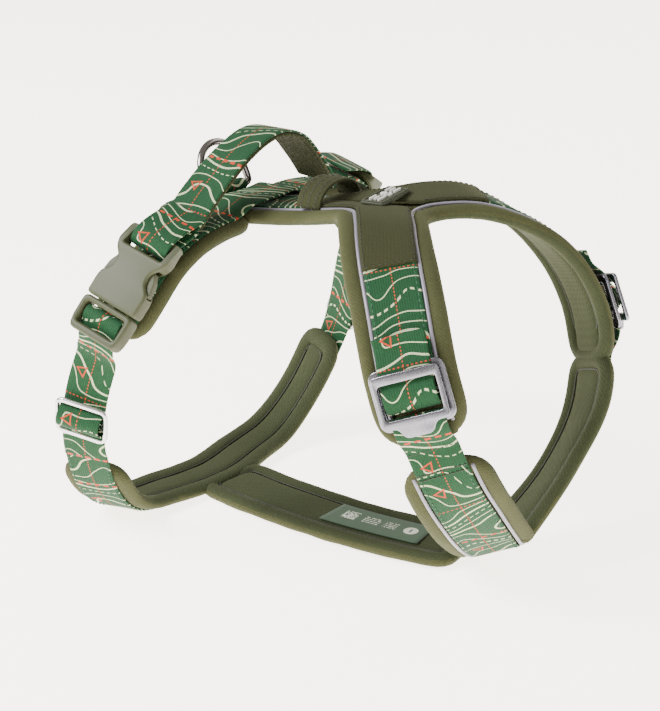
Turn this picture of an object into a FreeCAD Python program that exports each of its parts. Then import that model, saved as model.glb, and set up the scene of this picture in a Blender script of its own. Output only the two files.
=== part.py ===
import FreeCAD, Part
import math
import os

os.makedirs("parts", exist_ok=True)

# No-pull dog harness, standing open as it is worn.  Millimetres.
# +X is forward (the dog's nose), +Y the dog's left, +Z up.  The right side is
# modelled and the left one is its mirror image in the plane y = 0.

# ---- driving dimensions ---------------------------------------------------
PAD_WIDTH = 46.0          # padded straps
PAD_THICK = 7.0
WEBBING = 25.0            # spine, girth and handle webbing
SHOULDER_WEBBING = 27.0
WEB_THICK = 1.6
LAYER_GAP = 0.25          # between sewn layers
CLEAR = 0.4               # between moving pieces
BODY_SHIFT = 4.435        # puts the middle of the whole harness on x = 0

BUCKLE_WIDTH = 34.0       # side-release buckle
BUCKLE_HEIGHT = 9.0
FEMALE_LENGTH = 44.0
MALE_LENGTH = 19.6
BUCKLE_STATION = 107.0    # along the girth from the spine
BUCKLE_LIFT = 1.4         # buckle's inner face above the girth line

SPEED_STATION = 137.0     # shoulder adjuster, along the neck line
SPEED_REAR = (38.5, 31.0)
SPEED_FRONT = (34.0, 27.0)
PLATE_THICK = 2.2

GLIDE_STATION = 186.0     # girth slider, along the girth
GLIDE_SIZE = (31.0, 24.0)

RING_RADIUS = 17.0        # D-ring, to the middle of its wire
RING_WIRE = 4.0
RING_SIDE = 10.0          # straight part of each limb
RING_PIVOT = (-86.0, 0.0, 181.9)
RING_TILT = 65.0          # degrees above level, leaning back

# Centre lines: (point, direction across the strap).  The neck and girth lines
# run from the spine down the right side to the middle of the underside.
NECK = [
    ((25, 0, 187.5), (0.84, 0.52, -0.03)),
    ((49, -38, 187), (0.84, 0.52, -0.08)),
    ((78, -67, 162), (0.86, 0.49, 0.14)),
    ((97, -79, 124), (0.84, 0.48, 0.26)),
    ((107, -67, 80), (0.81, 0.48, 0.33)),
    ((104, -40, 46), (0.78, 0.48, 0.38)),
    ((95, -9, 19), (0.86, 0.20, 0.42)),
    ((93, 0, 15.5), (0.90, 0, 0.42)),
]
GIRTH = [
    ((-64, 0, 179), (1, -0.05, 0)),
    ((-68, -45, 179), (1, -0.06, -0.06)),
    ((-69, -77, 170.5), (0.98, -0.02, -0.15)),
    ((-72.5, -98, 151), (0.97, 0.05, -0.20)),
    ((-82, -110.5, 126), (0.96, 0.16, -0.20)),
    ((-94, -112, 94), (0.95, 0.25, -0.15)),
    ((-104, -104, 60), (0.94, 0.32, -0.06)),
    ((-112, -89, 30), (0.95, 0.30, 0.03)),
    ((-117, -67, 10), (0.97, 0.18, 0.03)),
    ((-115, -36, 5.6), (0.98, 0.04, 0)),
    ((-109, 0, 5.5), (1, 0, 0)),
]
SPINE = [
    ((-116, 0, 167), (0, 1, 0)),
    ((-92, 0, 171), (0, 1, 0)),
    ((-50, 0, 175.5), (0, 1, 0)),
    ((-20, 0, 180), (0, 1, 0)),
    ((8, 0, 184), (0, 1, 0)),
    ((24, 0, 187), (0, 1, 0)),
]
STERNUM = [
    ((-86, 0, 4.6), (0, 1, 0)),
    ((-8, 0, 4.6), (0, 1, 0)),
    ((70, 0, 4.6), (0, 1, 0)),
]
HANDLE = [
    ((-66, 54, 179.5), (1, 0, 0)),
    ((-64, 39, 196.5), (1, 0, 0)),
    ((-62, 21, 212.5), (1, 0, 0)),
    ((-62, 0, 217.5), (1, 0, 0)),
    ((-63, -23, 210), (1, 0, 0)),
    ((-66, -45, 194), (0.99, 0, -0.1)),
    ((-68, -62, 178.5), (0.98, 0, -0.15)),
]
KEEPER = [
    ((-16, 18, 185.7), (1, 0, 0)),
    ((-16, 15.5, 192), (1, 0, 0)),
    ((-16, 9, 196.5), (1, 0, 0)),
    ((-16, 0, 198), (1, 0, 0)),
    ((-16, -9, 196.5), (1, 0, 0)),
    ((-16, -15.5, 192), (1, 0, 0)),
    ((-16, -18, 185.7), (1, 0, 0)),
]


def vec(x, y=None, z=None):
    return FreeCAD.Vector(*x) if y is None else FreeCAD.Vector(x, y, z)


def mirrored(v):
    return vec(v.x, -v.y, v.z)


class Line:
    """A smooth centre line with a direction across the strap at every point."""

    def __init__(self, rows, symmetric=False):
        pts = [vec(p) + vec(BODY_SHIFT, 0, 0) for p, _ in rows]
        across = [vec(d) for _, d in rows]
        first = mirrored(pts[1]) if symmetric else pts[0] * 2 - pts[1]
        last = mirrored(pts[-2]) if symmetric else pts[-1] * 2 - pts[-2]
        self.pts = [first] + pts + [last]
        self.across = [across[0]] + across + [across[-1]]
        self.samples = []
        length = 0.0
        before = None
        for i in range(len(rows) - 1):
            for k in range(20 if i < len(rows) - 2 else 21):
                here = self.blend(self.pts, i, k / 20.0)
                if before is not None:
                    length += (here - before).Length
                self.samples.append((length, i + k / 20.0))
                before = here
        self.length = length

    def blend(self, values, i, t):
        a, b, c, d = values[i:i + 4]
        return (b * 2 + (c - a) * t + (a * 2 - b * 5 + c * 4 - d) * t ** 2
                + (b * 3 - a - c * 3 + d) * t ** 3) * 0.5

    def frame(self, station):
        """Point, tangent, across and outward at a distance along; straight before the start."""
        before = min(station, 0.0)
        station = min(max(station, 0.0), self.length)
        k = 0
        while k < len(self.samples) - 2 and self.samples[k + 1][0] < station:
            k += 1
        s0, u0 = self.samples[k]
        s1, u1 = self.samples[k + 1]
        u = u0 + (u1 - u0) * (station - s0) / (s1 - s0)
        i = min(int(u), len(self.pts) - 4)
        point = self.blend(self.pts, i, u - i)
        step = 0.02
        ahead = self.blend(self.pts, i, u - i + step)
        behind = self.blend(self.pts, i, u - i - step)
        tangent = (ahead - behind).normalize()
        across = self.blend(self.across, i, u - i)
        across = (across - tangent * across.dot(tangent)).normalize()
        return point + tangent * before, tangent, across, tangent.cross(across)


neck = Line(NECK, symmetric=True)
girth = Line(GIRTH, symmetric=True)
spine = Line(SPINE)
sternum = Line(STERNUM)
handle = Line(HANDLE)
keeper = Line(KEEPER)


# ---- building blocks ------------------------------------------------------
def section(line, station, low, high, left, right):
    """Corners of a strap's cross-section, low and high along the outward side."""
    point, _, across, out = line.frame(station)
    low = low(station) if callable(low) else low
    high = high(station) if callable(high) else high
    return [point + across * left + out * low, point + across * right + out * low,
            point + across * right + out * high, point + across * left + out * high]


def loft(sections):
    wires = [Part.makePolygon(corners + corners[:1]) for corners in sections]
    solid = Part.makeLoft(wires, True, True)
    if solid.Volume < 0:
        solid.reverse()
    return solid


def stations(start, end, step):
    count = max(1, int(round((end - start) / step)))
    return [start + (end - start) * k / count for k in range(count + 1)]


def band(line, start, end, low, high, width, middle=0.0, step=9.0):
    """A flat strap of the given width along a line."""
    left, right = middle - width / 2, middle + width / 2
    return loft([section(line, s, low, high, left, right) for s in stations(start, end, step)])


def underside_band(line, start, low, high, width, middle=0.0, step=9.0):
    """A strap that runs from one side under the middle to the other side."""
    left, right = middle - width / 2, middle + width / 2
    near = [section(line, s, low, high, left, right) for s in stations(start, line.length, step)]
    far = [[mirrored(c) for c in corners] for corners in reversed(near[:-1])]
    return loft(near + far)


def left_copy(shape):
    return shape.mirror(vec(0, 0, 0), vec(0, 1, 0))


def box(x0, x1, y0, y1, z0, z1):
    return Part.makeBox(x1 - x0, y1 - y0, z1 - z0, vec(x0, y0, z0))


def prism(outline, z0, z1):
    face = Part.Face(Part.makePolygon([vec(x, y, z0) for x, y in outline + outline[:1]]))
    return face.extrude(vec(0, 0, z1 - z0))


def rounded(solid, radius, direction):
    """Rounds the straight edges that run along a direction."""
    edges = [e for e in solid.Edges if isinstance(e.Curve, Part.Line)
             and abs(abs(e.Curve.Direction.dot(direction)) - 1) < 1e-6]
    return solid.makeFillet(radius, edges)


def softened(solid, radius):
    """Rounds the rim of the two flat faces of a prism along Z."""
    zs = (solid.BoundBox.ZMin, solid.BoundBox.ZMax)
    edges = [e for e in solid.Edges
             if e.BoundBox.ZLength < 1e-6 and min(abs(e.BoundBox.ZMin - z) for z in zs) < 1e-6]
    return solid.makeFillet(radius, edges)


def placed(shape, line, station, lift):
    """Moves a local shape to a line: local x across, y back along, z outward."""
    point, tangent, across, out = line.frame(station)
    origin = point + out * lift
    back = tangent * -1
    matrix = FreeCAD.Matrix(across.x, back.x, out.x, origin.x,
                            across.y, back.y, out.y, origin.y,
                            across.z, back.z, out.z, origin.z, 0, 0, 0, 1)
    moved = shape.copy()
    moved.Placement = FreeCAD.Placement(matrix)
    return moved


def teardrop(y0, z0, r0, y1, z1, r1, half_width):
    """A webbing loop's outline in the local y-z plane, drawn out along x."""
    dy, dz = y1 - y0, z1 - z0
    run = math.hypot(dy, dz)
    turn = math.atan2(dz, dy)
    lean = math.acos((r0 - r1) / run)
    points = []
    for cy, cz, r, a0, a1 in ((y0, z0, r0, lean, 2 * math.pi - lean), (y1, z1, r1, -lean, lean)):
        for k in range(9):
            a = turn + a0 + (a1 - a0) * k / 8.0
            points.append(vec(-half_width, cy + r * math.cos(a), cz + r * math.sin(a)))
    face = Part.Face(Part.makePolygon(points + points[:1]))
    return face.extrude(vec(2 * half_width, 0, 0))


def webbing_loop(y0, z0, bar_radius, y1, z1, half_width, tail=WEB_THICK + 0.1):
    """Webbing folded round a bar at (y0, z0), sewn flat at (y1, z1)."""
    inner = bar_radius + CLEAR
    outer = inner + WEB_THICK
    skin = teardrop(y0, z0, outer, y1, z1, tail, half_width)
    near = 0.6
    hole = teardrop(y0, z0, inner, y0 + (y1 - y0) * near, z0 + (z1 - z0) * near, 0.2, half_width + 1)
    return skin.cut(hole)


nodes = {}


def save(name, shape):
    nodes[name] = shape


def save_pair(name, shape):
    save("right_" + name, shape)
    save("left_" + name, left_copy(shape))


# ---- back, yoke and saddle ------------------------------------------------
HALF = PAD_THICK / 2
WEB_LOW = HALF + LAYER_GAP
WEB_HIGH = WEB_LOW + WEB_THICK
YOKE_START = 40.0                     # where the shoulder pads leave the yoke
SPINE_START, SPINE_END = -12.0, 122.0  # the padded spine
PATCH_WIDTH = 30.0

save("back_pad", band(spine, SPINE_START, SPINE_END, -HALF, HALF, PAD_WIDTH - 4))
save("spine_webbing", band(spine, SPINE_START + 5, 92, WEB_LOW, WEB_HIGH, WEBBING))
save("spine_piping", Part.makeCompound([
    band(spine, SPINE_START + 3, 104, WEB_LOW, WEB_HIGH, 1.8, middle=side * 14.6) for side in (-1, 1)]))


def yoke_outline(width, reach, rear_width, rear_x):
    """Plan of the yoke: rear end, right arm, crotch, left arm."""
    point, tangent, across, _ = neck.frame(reach)
    rear = point - across * (width / 2)
    front = point + across * (width / 2)
    crotch_x = front.x - tangent.x * front.y / tangent.y
    right = [(rear_x, -rear_width / 2), (rear.x, rear.y), (front.x, front.y)]
    return right + [(crotch_x, 0)] + [(x, -y) for x, y in reversed(right)]


yoke_rear = spine.frame(SPINE_END + LAYER_GAP)[0].x
yoke_mid = neck.frame(YOKE_START)[0].z
yoke_plan = yoke_outline(PAD_WIDTH, YOKE_START - 1.2, PAD_WIDTH - 4, yoke_rear)
save("yoke_pad", prism(yoke_plan, yoke_mid - HALF, yoke_mid + HALF))
patch_plan = yoke_outline(PATCH_WIDTH, YOKE_START, PATCH_WIDTH, yoke_rear)
save("yoke_patch", prism(patch_plan, yoke_mid + WEB_LOW, yoke_mid + WEB_HIGH))
save_pair("patch_arm", band(neck, YOKE_START + LAYER_GAP, 64, WEB_LOW, WEB_HIGH, PATCH_WIDTH))

BADGE = (14.0, 31.0, 2.4)
badge_low = yoke_mid + WEB_HIGH + LAYER_GAP
badge = box(-BADGE[0] / 2, BADGE[0] / 2, -BADGE[1] / 2, BADGE[1] / 2, 0, BADGE[2])
badge = rounded(badge, 1.5, vec(0, 0, 1))
badge.translate(vec(23 + BODY_SHIFT, -2, badge_low))
save("badge", badge)

KEEPER_WIDTH = 16.0
save("keeper_loop", band(keeper, 0, keeper.length, -1.0, 1.0, KEEPER_WIDTH, step=6.0))

WING_END = 133.0
WING_LOW, WING_HIGH = -10.0, -3.5     # the wing pads lie inside the girth line


def saddle_low(station):
    """The saddle webbing climbs from the wing pads over the spine."""
    share = min(max((station - 16.0) / 16.0, 0.0), 1.0)
    share = share * share * (3 - 2 * share)
    return 2.0 + (WING_HIGH + LAYER_GAP - 2.0) * share


def saddle_high(station):
    return saddle_low(station) + WEB_THICK


save_pair("wing_pad", band(girth, 24, WING_END, WING_LOW, WING_HIGH, PAD_WIDTH - 10))
right_saddle = [section(girth, s, saddle_low, saddle_high, -WEBBING / 2, WEBBING / 2)
                for s in stations(0, 126, 6.0)]
left_saddle = [[mirrored(c) for c in corners] for corners in reversed(right_saddle[1:])]
save("saddle_webbing", loft(left_saddle + right_saddle))

# ---- handle ---------------------------------------------------------------
save("handle_webbing", band(handle, 0, handle.length, 0.0, WEB_THICK, WEBBING, step=7.0))
save("handle_lining", band(handle, 4, handle.length - 4, -3.2, -LAYER_GAP, WEBBING - 1, step=7.0))

# ---- leash ring -----------------------------------------------------------
pivot = vec(RING_PIVOT) + vec(BODY_SHIFT, 0, 0)
wire = RING_WIRE / 2
arc_start, arc_top, arc_end = (vec(0, -RING_RADIUS, RING_SIDE), vec(0, 0, RING_SIDE + RING_RADIUS),
                               vec(0, RING_RADIUS, RING_SIDE))
bar_left, bar_right = vec(0, RING_RADIUS, 0), vec(0, -RING_RADIUS, 0)


def rod(a, b, radius):
    return Part.makeCylinder(radius, (b - a).Length, a, b - a)


ring_arc = Part.Wire([Part.Arc(arc_start, arc_top, arc_end).toShape()])
ring_section = Part.Wire([Part.makeCircle(wire, arc_start, vec(0, 0, 1))])
ring = ring_arc.makePipeShell([ring_section], True, False)
for piece in (rod(bar_right, arc_start, wire), rod(arc_end, bar_left, wire), rod(bar_left, bar_right, wire),
              Part.makeSphere(wire, bar_left), Part.makeSphere(wire, bar_right)):
    ring = ring.fuse(piece)
ring = ring.removeSplitter()
ring.rotate(vec(0, 0, 0), vec(0, 1, 0), RING_TILT - 90.0)
ring.translate(pivot)
save("d_ring", ring)

ring_loop = webbing_loop(0, 0, wire, 19, -4.6, WEBBING / 2)
ring_loop.rotate(vec(0, 0, 0), vec(0, 0, 1), 90)
ring_loop.translate(pivot)
save("d_ring_keeper", ring_loop)

# ---- shoulder straps ------------------------------------------------------
SHOULDER_END = 162.0
FOLD_END = 121.0                      # the upper webbing is folded and sewn here
save_pair("shoulder_pad", band(neck, YOKE_START, SHOULDER_END, -HALF, HALF, PAD_WIDTH))
save_pair("shoulder_webbing", band(neck, 64 + LAYER_GAP, FOLD_END, WEB_LOW, WEB_HIGH, SHOULDER_WEBBING))
save_pair("shoulder_piping", Part.makeCompound([
    band(neck, YOKE_START + 3, SHOULDER_END - 10, WEB_LOW, WEB_HIGH, 1.8, middle=side * 16.4)
    for side in (-1, 1)]))

# ---- shoulder adjuster: rear frame, front plate with a finger tab ---------
ROLL_Y, ROLL_Z = 0.5, 1.9             # bar that the shoulder webbing turns round


def speed_rear():
    w, h = SPEED_REAR
    plate = rounded(box(-w / 2, w / 2, -h / 2, h / 2, 0, PLATE_THICK), 5.0, vec(0, 0, 1))
    plate = softened(plate, 0.7)
    window = rounded(box(-14.6, 14.6, -9.5, 10.5, -1, PLATE_THICK + 1), 1.5, vec(0, 0, 1))
    notch = box(14.0, 16.4, -1.5, 3.0, -1, PLATE_THICK + 1)
    bar = Part.makeCylinder(1.5, 31, vec(-15.5, ROLL_Y, ROLL_Z), vec(1, 0, 0))
    return plate.cut(window).cut(notch).fuse(bar).removeSplitter()


def speed_front():
    w, h = SPEED_FRONT
    top, bottom = h / 2, -h / 2
    outline = [(-w / 2, top), (-w / 2, bottom), (-9.5, bottom), (-6.5, bottom - 5.5),
               (6.5, bottom - 5.5), (9.5, bottom), (w / 2, bottom), (w / 2, top)]
    plate = rounded(prism(outline, 0, PLATE_THICK), 2.0, vec(0, 0, 1))
    plate = softened(plate, 0.7)
    window = rounded(box(-14.6, 14.6, -9.0, 8.4, -1, PLATE_THICK + 1), 1.5, vec(0, 0, 1))
    return plate.cut(window)


REAR_LIFT = WEB_HIGH + 1.2
FRONT_LIFT = REAR_LIFT + PLATE_THICK + WEB_THICK + 2.6
save_pair("adjuster_frame", placed(speed_rear(), neck, SPEED_STATION, REAR_LIFT))
save_pair("adjuster_plate", placed(speed_front(), neck, SPEED_STATION, FRONT_LIFT))
roll = webbing_loop(ROLL_Y, ROLL_Z, 1.5, 15.0, 5.0, SHOULDER_WEBBING / 2, tail=0.85)
save_pair("adjuster_webbing", placed(roll, neck, SPEED_STATION, REAR_LIFT))

# ---- lower neck webbing and chest -----------------------------------------
CHEST_START = 176.0
save_pair("lower_webbing", band(neck, 150, 177, WEB_LOW, WEB_HIGH, SHOULDER_WEBBING))
save("chest_pad", underside_band(neck, CHEST_START, -HALF, HALF, PAD_WIDTH, step=8.0))
save("chest_webbing", underside_band(neck, 177.5, WEB_LOW, WEB_HIGH, SHOULDER_WEBBING, step=8.0))
save("chest_piping", Part.makeCompound([
    underside_band(neck, CHEST_START + 4, WEB_LOW, WEB_HIGH, 1.8, middle=side * 16.4, step=8.0)
    for side in (-1, 1)]))
save("sternum_pad", band(sternum, 0, sternum.length, -2.6, HALF, PAD_WIDTH - 4))
save("sternum_webbing", band(sternum, 4, sternum.length - 10, -4.6, -2.85, WEBBING))
save("care_label", band(sternum, 72, 134, HALF + 0.15, HALF + 0.65, 24.0))

# ---- girth ----------------------------------------------------------------
GIRTH_PAD_START = 212.0
GIRTH_PAD_WIDTH = 39.0    # narrower than the other padded straps
save("girth_pad", underside_band(girth, GIRTH_PAD_START, -HALF + 0.2, HALF - 0.2, GIRTH_PAD_WIDTH, step=8.0))
save("girth_webbing", underside_band(girth, GIRTH_PAD_START + 1, HALF + 0.05, HALF + 1.65, WEBBING, step=8.0))

# ---- side-release buckle --------------------------------------------------
MOUTH = -12.0                         # where the two halves meet
LATCH = 0.0                           # end of the solid mouth, where the prongs catch
MID = BUCKLE_HEIGHT / 2
END_BAR_Y = MOUTH + FEMALE_LENGTH - 2.2
INNER_BAR_Y = MOUTH - 7.4


def female_half():
    half, top = BUCKLE_WIDTH / 2, MOUTH + FEMALE_LENGTH
    side = [(half, MOUTH), (half, LATCH), (half - 5.6, LATCH + 4), (half - 5.6, LATCH + 11),
            (half, LATCH + 17), (half, top)]
    outline = side + [(-x, y) for x, y in reversed(side)]
    body = softened(rounded(prism(outline, 0, BUCKLE_HEIGHT), 2.0, vec(0, 0, 1)), 1.1)
    cavity = box(-13.8, 13.8, MOUTH - 1, LATCH + 15.5, 1.8, BUCKLE_HEIGHT - 1.8)
    window = box(-13.4, 13.4, top - 11.5, top - 4.2, -1, BUCKLE_HEIGHT + 1)
    over = box(-13.4, 13.4, top - 5, top + 1, MID + 1.8, BUCKLE_HEIGHT + 1)
    under = box(-13.4, 13.4, top - 5, top + 1, -1, MID - 1.8)
    sides = box(-half - 1, half + 1, LATCH, LATCH + 15.5, 1.8, BUCKLE_HEIGHT - 1.8)
    return body.cut(cavity).cut(sides).cut(window).cut(over).cut(under)


def male_half():
    half, top, low = BUCKLE_WIDTH / 2, MOUTH - CLEAR, MOUTH - CLEAR - MALE_LENGTH
    body = box(-half, half, low, top, 0, BUCKLE_HEIGHT)
    body = rounded(body, 2.0, vec(0, 0, 1))
    body = softened(body, 1.1)
    window = box(-13.4, 13.4, low + 4.2, top - 3.2, -1, BUCKLE_HEIGHT + 1)
    under = box(-13.4, 13.4, low - 1, low + 5, -1, MID - 0.2)
    bar = Part.makeCylinder(1.5, 2 * half - 4, vec(2 - half, INNER_BAR_Y, MID + 0.2), vec(1, 0, 0))
    tongue = box(-2.4, 2.4, top - 2, LATCH + 8, 2.4, BUCKLE_HEIGHT - 2.4)
    return body.cut(window).cut(under).fuse(bar).fuse(tongue).removeSplitter()


def prong(side):
    base = MOUTH - CLEAR + 0.35
    outline = [(8.6, base), (12.6, base), (13.2, LATCH - 1.0), (13.2, LATCH + CLEAR),
               (16.4, LATCH + CLEAR), (16.6, LATCH + 3), (15.4, LATCH + 9), (12.8, LATCH + 14),
               (11.0, LATCH + 14), (10.0, LATCH + 5), (9.4, LATCH - 3)]
    return prism([(side * x, y) for x, y in outline], 2.2, BUCKLE_HEIGHT - 2.2)


def on_buckle(shape):
    return placed(shape, girth, BUCKLE_STATION, BUCKLE_LIFT)


save_pair("female_buckle", on_buckle(female_half()))
save_pair("male_buckle", on_buckle(male_half()))
save_pair("front_prong", on_buckle(prong(1)))
save_pair("rear_prong", on_buckle(prong(-1)))
female_loop = webbing_loop(END_BAR_Y, MID, 2.5, END_BAR_Y + 13, -3.5, WEBBING / 2)
save_pair("female_loop", on_buckle(female_loop))
male_loop = webbing_loop(INNER_BAR_Y, MID + 0.2, 1.5, INNER_BAR_Y - 16.5, -2.4, WEBBING / 2)
save_pair("male_loop", on_buckle(male_loop))

# ---- girth slider and the webbing through it ------------------------------
STRAP_START = 150.5


def strap_low(station):
    """From the buckle the strap comes in to lie on the outside of the girth pad."""
    share = min(max((station - STRAP_START) / 50.0, 0.0), 1.0)
    return -1.6 + (HALF + 0.05 + 1.6) * share * share * (3 - 2 * share)


def strap_high(station):
    return strap_low(station) + WEB_THICK


save_pair("girth_strap", band(girth, STRAP_START, GIRTH_PAD_START + 0.7, strap_low, strap_high, WEBBING))


def slider():
    w, h = GLIDE_SIZE
    frame = rounded(box(-w / 2, w / 2, -h / 2, h / 2, 0, 2.4), 3.0, vec(0, 0, 1))
    frame = softened(frame, 0.9)
    for y0, y1 in ((3.2 - h / 2, -1.5), (1.5, h / 2 - 3.2)):
        frame = frame.cut(box(-12.9, 12.9, y0, y1, -1, 4))
    return frame


def slider_webbing():
    """The sewn end of the webbing, over the slider's middle bar."""
    half = WEBBING / 2
    arch = [(-5.9, 0.0), (-5.4, 3.4), (-3.0, 5.6), (0.0, 6.2), (3.0, 5.6), (5.4, 3.4), (5.9, 0.0),
            (4.2, 0.0), (3.6, 2.8), (2.0, 3.9), (0.0, 4.3), (-2.0, 3.9), (-3.6, 2.8), (-4.2, 0.0)]
    face = Part.Face(Part.makePolygon([vec(-half, y, z) for y, z in arch + arch[:1]]))
    return face.extrude(vec(WEBBING, 0, 0))


GLIDE_LIFT = strap_high(GLIDE_STATION) + 1.0
save_pair("girth_slider", placed(slider(), girth, GLIDE_STATION, GLIDE_LIFT))
save_pair("slider_webbing", placed(slider_webbing(), girth, GLIDE_STATION, GLIDE_LIFT))

# ---- export ---------------------------------------------------------------
for name, shape in nodes.items():
    for solid in shape.Solids:
        if not solid.isValid():
            print("not valid:", name)
    shape.exportStep("parts/" + name + ".step")
whole = Part.makeCompound(list(nodes.values()))
print(len(nodes), "nodes; box", whole.BoundBox)
print("lines: neck", round(neck.length), "girth", round(girth.length), "handle", round(handle.length))
for label, line, station, lift in (("buckle", girth, BUCKLE_STATION, BUCKLE_LIFT),
                                   ("slider", girth, GLIDE_STATION, GLIDE_LIFT),
                                   ("adjuster", neck, SPEED_STATION, FRONT_LIFT)):
    point, tangent, across, out = line.frame(station)
    origin = point + out * lift
    print(label, "origin", origin, "tangent", tangent, "across", across, "out", out)
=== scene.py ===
import bpy
import bmesh
import math
from mathutils import Matrix, Vector, noise


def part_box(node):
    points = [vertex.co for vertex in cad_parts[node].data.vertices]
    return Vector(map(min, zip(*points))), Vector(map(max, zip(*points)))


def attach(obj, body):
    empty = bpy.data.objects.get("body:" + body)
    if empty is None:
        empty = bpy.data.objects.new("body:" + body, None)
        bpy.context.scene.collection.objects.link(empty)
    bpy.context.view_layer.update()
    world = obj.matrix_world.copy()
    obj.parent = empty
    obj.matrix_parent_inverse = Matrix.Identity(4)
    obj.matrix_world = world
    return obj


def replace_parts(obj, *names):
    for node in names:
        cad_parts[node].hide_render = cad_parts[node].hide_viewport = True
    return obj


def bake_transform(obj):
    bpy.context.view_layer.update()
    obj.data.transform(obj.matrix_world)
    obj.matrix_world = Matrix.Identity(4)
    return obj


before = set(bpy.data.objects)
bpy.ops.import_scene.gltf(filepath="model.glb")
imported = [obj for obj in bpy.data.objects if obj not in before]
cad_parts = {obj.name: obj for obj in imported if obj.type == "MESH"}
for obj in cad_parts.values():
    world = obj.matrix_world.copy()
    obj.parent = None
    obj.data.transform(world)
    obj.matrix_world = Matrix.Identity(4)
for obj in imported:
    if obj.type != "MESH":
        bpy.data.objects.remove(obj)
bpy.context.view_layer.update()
print("frame loaded:", len(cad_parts), "nodes")

# The harness stands as it is worn: +X to the dog's nose, +Y its left, +Z up.
# Everything below is worked out in millimetres and turned to metres by newPiece.
mm = 0.001
bodyShift = 4.435                      # same shift as the design, puts the middle on x = 0

strapSizes = {
    "padWidth": 47.0, "rollAcross": 4.9, "rollHeight": 3.9, "panelHalf": 13.9, "panelHeight": 3.1,
    "webbing": 25.0, "shoulderWebbing": 27.0, "webThick": 1.5, "webLift": 4.1, "pipingAcross": 14.6,
}

# centre lines: point and direction across, from the spine down the right side to the underside
neckRows = [
    ((25, 0, 187.5), (0.84, 0.52, -0.03)), ((49, -38, 187), (0.84, 0.52, -0.08)),
    ((78, -67, 162), (0.86, 0.49, 0.14)), ((97, -79, 124), (0.84, 0.48, 0.26)),
    ((107, -67, 80), (0.81, 0.48, 0.33)), ((104, -40, 46), (0.78, 0.48, 0.38)),
    ((95, -9, 19), (0.86, 0.20, 0.42)), ((93, 0, 15.5), (0.90, 0, 0.42))]
girthRows = [
    ((-64, 0, 179), (1, -0.05, 0)), ((-68, -45, 179), (1, -0.06, -0.06)),
    ((-69, -77, 170.5), (0.98, -0.02, -0.15)), ((-72.5, -98, 151), (0.97, 0.05, -0.20)),
    ((-82, -110.5, 126), (0.96, 0.16, -0.20)), ((-94, -112, 94), (0.95, 0.25, -0.15)),
    ((-104, -104, 60), (0.94, 0.32, -0.06)), ((-112, -89, 30), (0.95, 0.30, 0.03)),
    ((-117, -67, 10), (0.97, 0.18, 0.03)), ((-115, -36, 5.6), (0.98, 0.04, 0)), ((-109, 0, 5.5), (1, 0, 0))]
spineRows = [
    ((-116, 0, 167), (0, 1, 0)), ((-92, 0, 171), (0, 1, 0)), ((-50, 0, 175.5), (0, 1, 0)),
    ((-20, 0, 180), (0, 1, 0)), ((8, 0, 184), (0, 1, 0)), ((24, 0, 187), (0, 1, 0))]
sternumRows = [
    ((-99.5, 0, 4.1), (0, 1, 0)), ((-84, -2, 4.3), (0, 1, 0)), ((-60, -6, 4.7), (0, 1, 0)),
    ((-8, -9, 4.7), (0, 1, 0)), ((40, -6, 4.7), (0, 1, 0)), ((74, 0, 4.7), (0, 1, 0))]
handleRows = [
    ((-66, 54, 179.5), (1, 0, 0)), ((-64, 39, 196.5), (1, 0, 0)), ((-62, 21, 212.5), (1, 0, 0)),
    ((-62, 0, 217.5), (1, 0, 0)), ((-63, -23, 210), (1, 0, 0)), ((-66, -45, 194), (0.99, 0, -0.1)),
    ((-68, -62, 178.5), (0.98, 0, -0.15))]
keeperRows = [
    ((-16, 18, 185.7), (1, 0, 0)), ((-16, 15.5, 192), (1, 0, 0)), ((-16, 9, 196.5), (1, 0, 0)),
    ((-16, 0, 198), (1, 0, 0)), ((-16, -9, 196.5), (1, 0, 0)), ((-16, -15.5, 192), (1, 0, 0)),
    ((-16, -18, 185.7), (1, 0, 0))]


def flip(v):
    return Vector((v[0], -v[1], v[2]))


def spread(start, end, step):
    count = max(1, round((end - start) / step))
    return [start + (end - start) * k / count for k in range(count + 1)]


def ease(t):
    t = min(max(t, 0.0), 1.0)
    return t * t * (3 - 2 * t)


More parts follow.
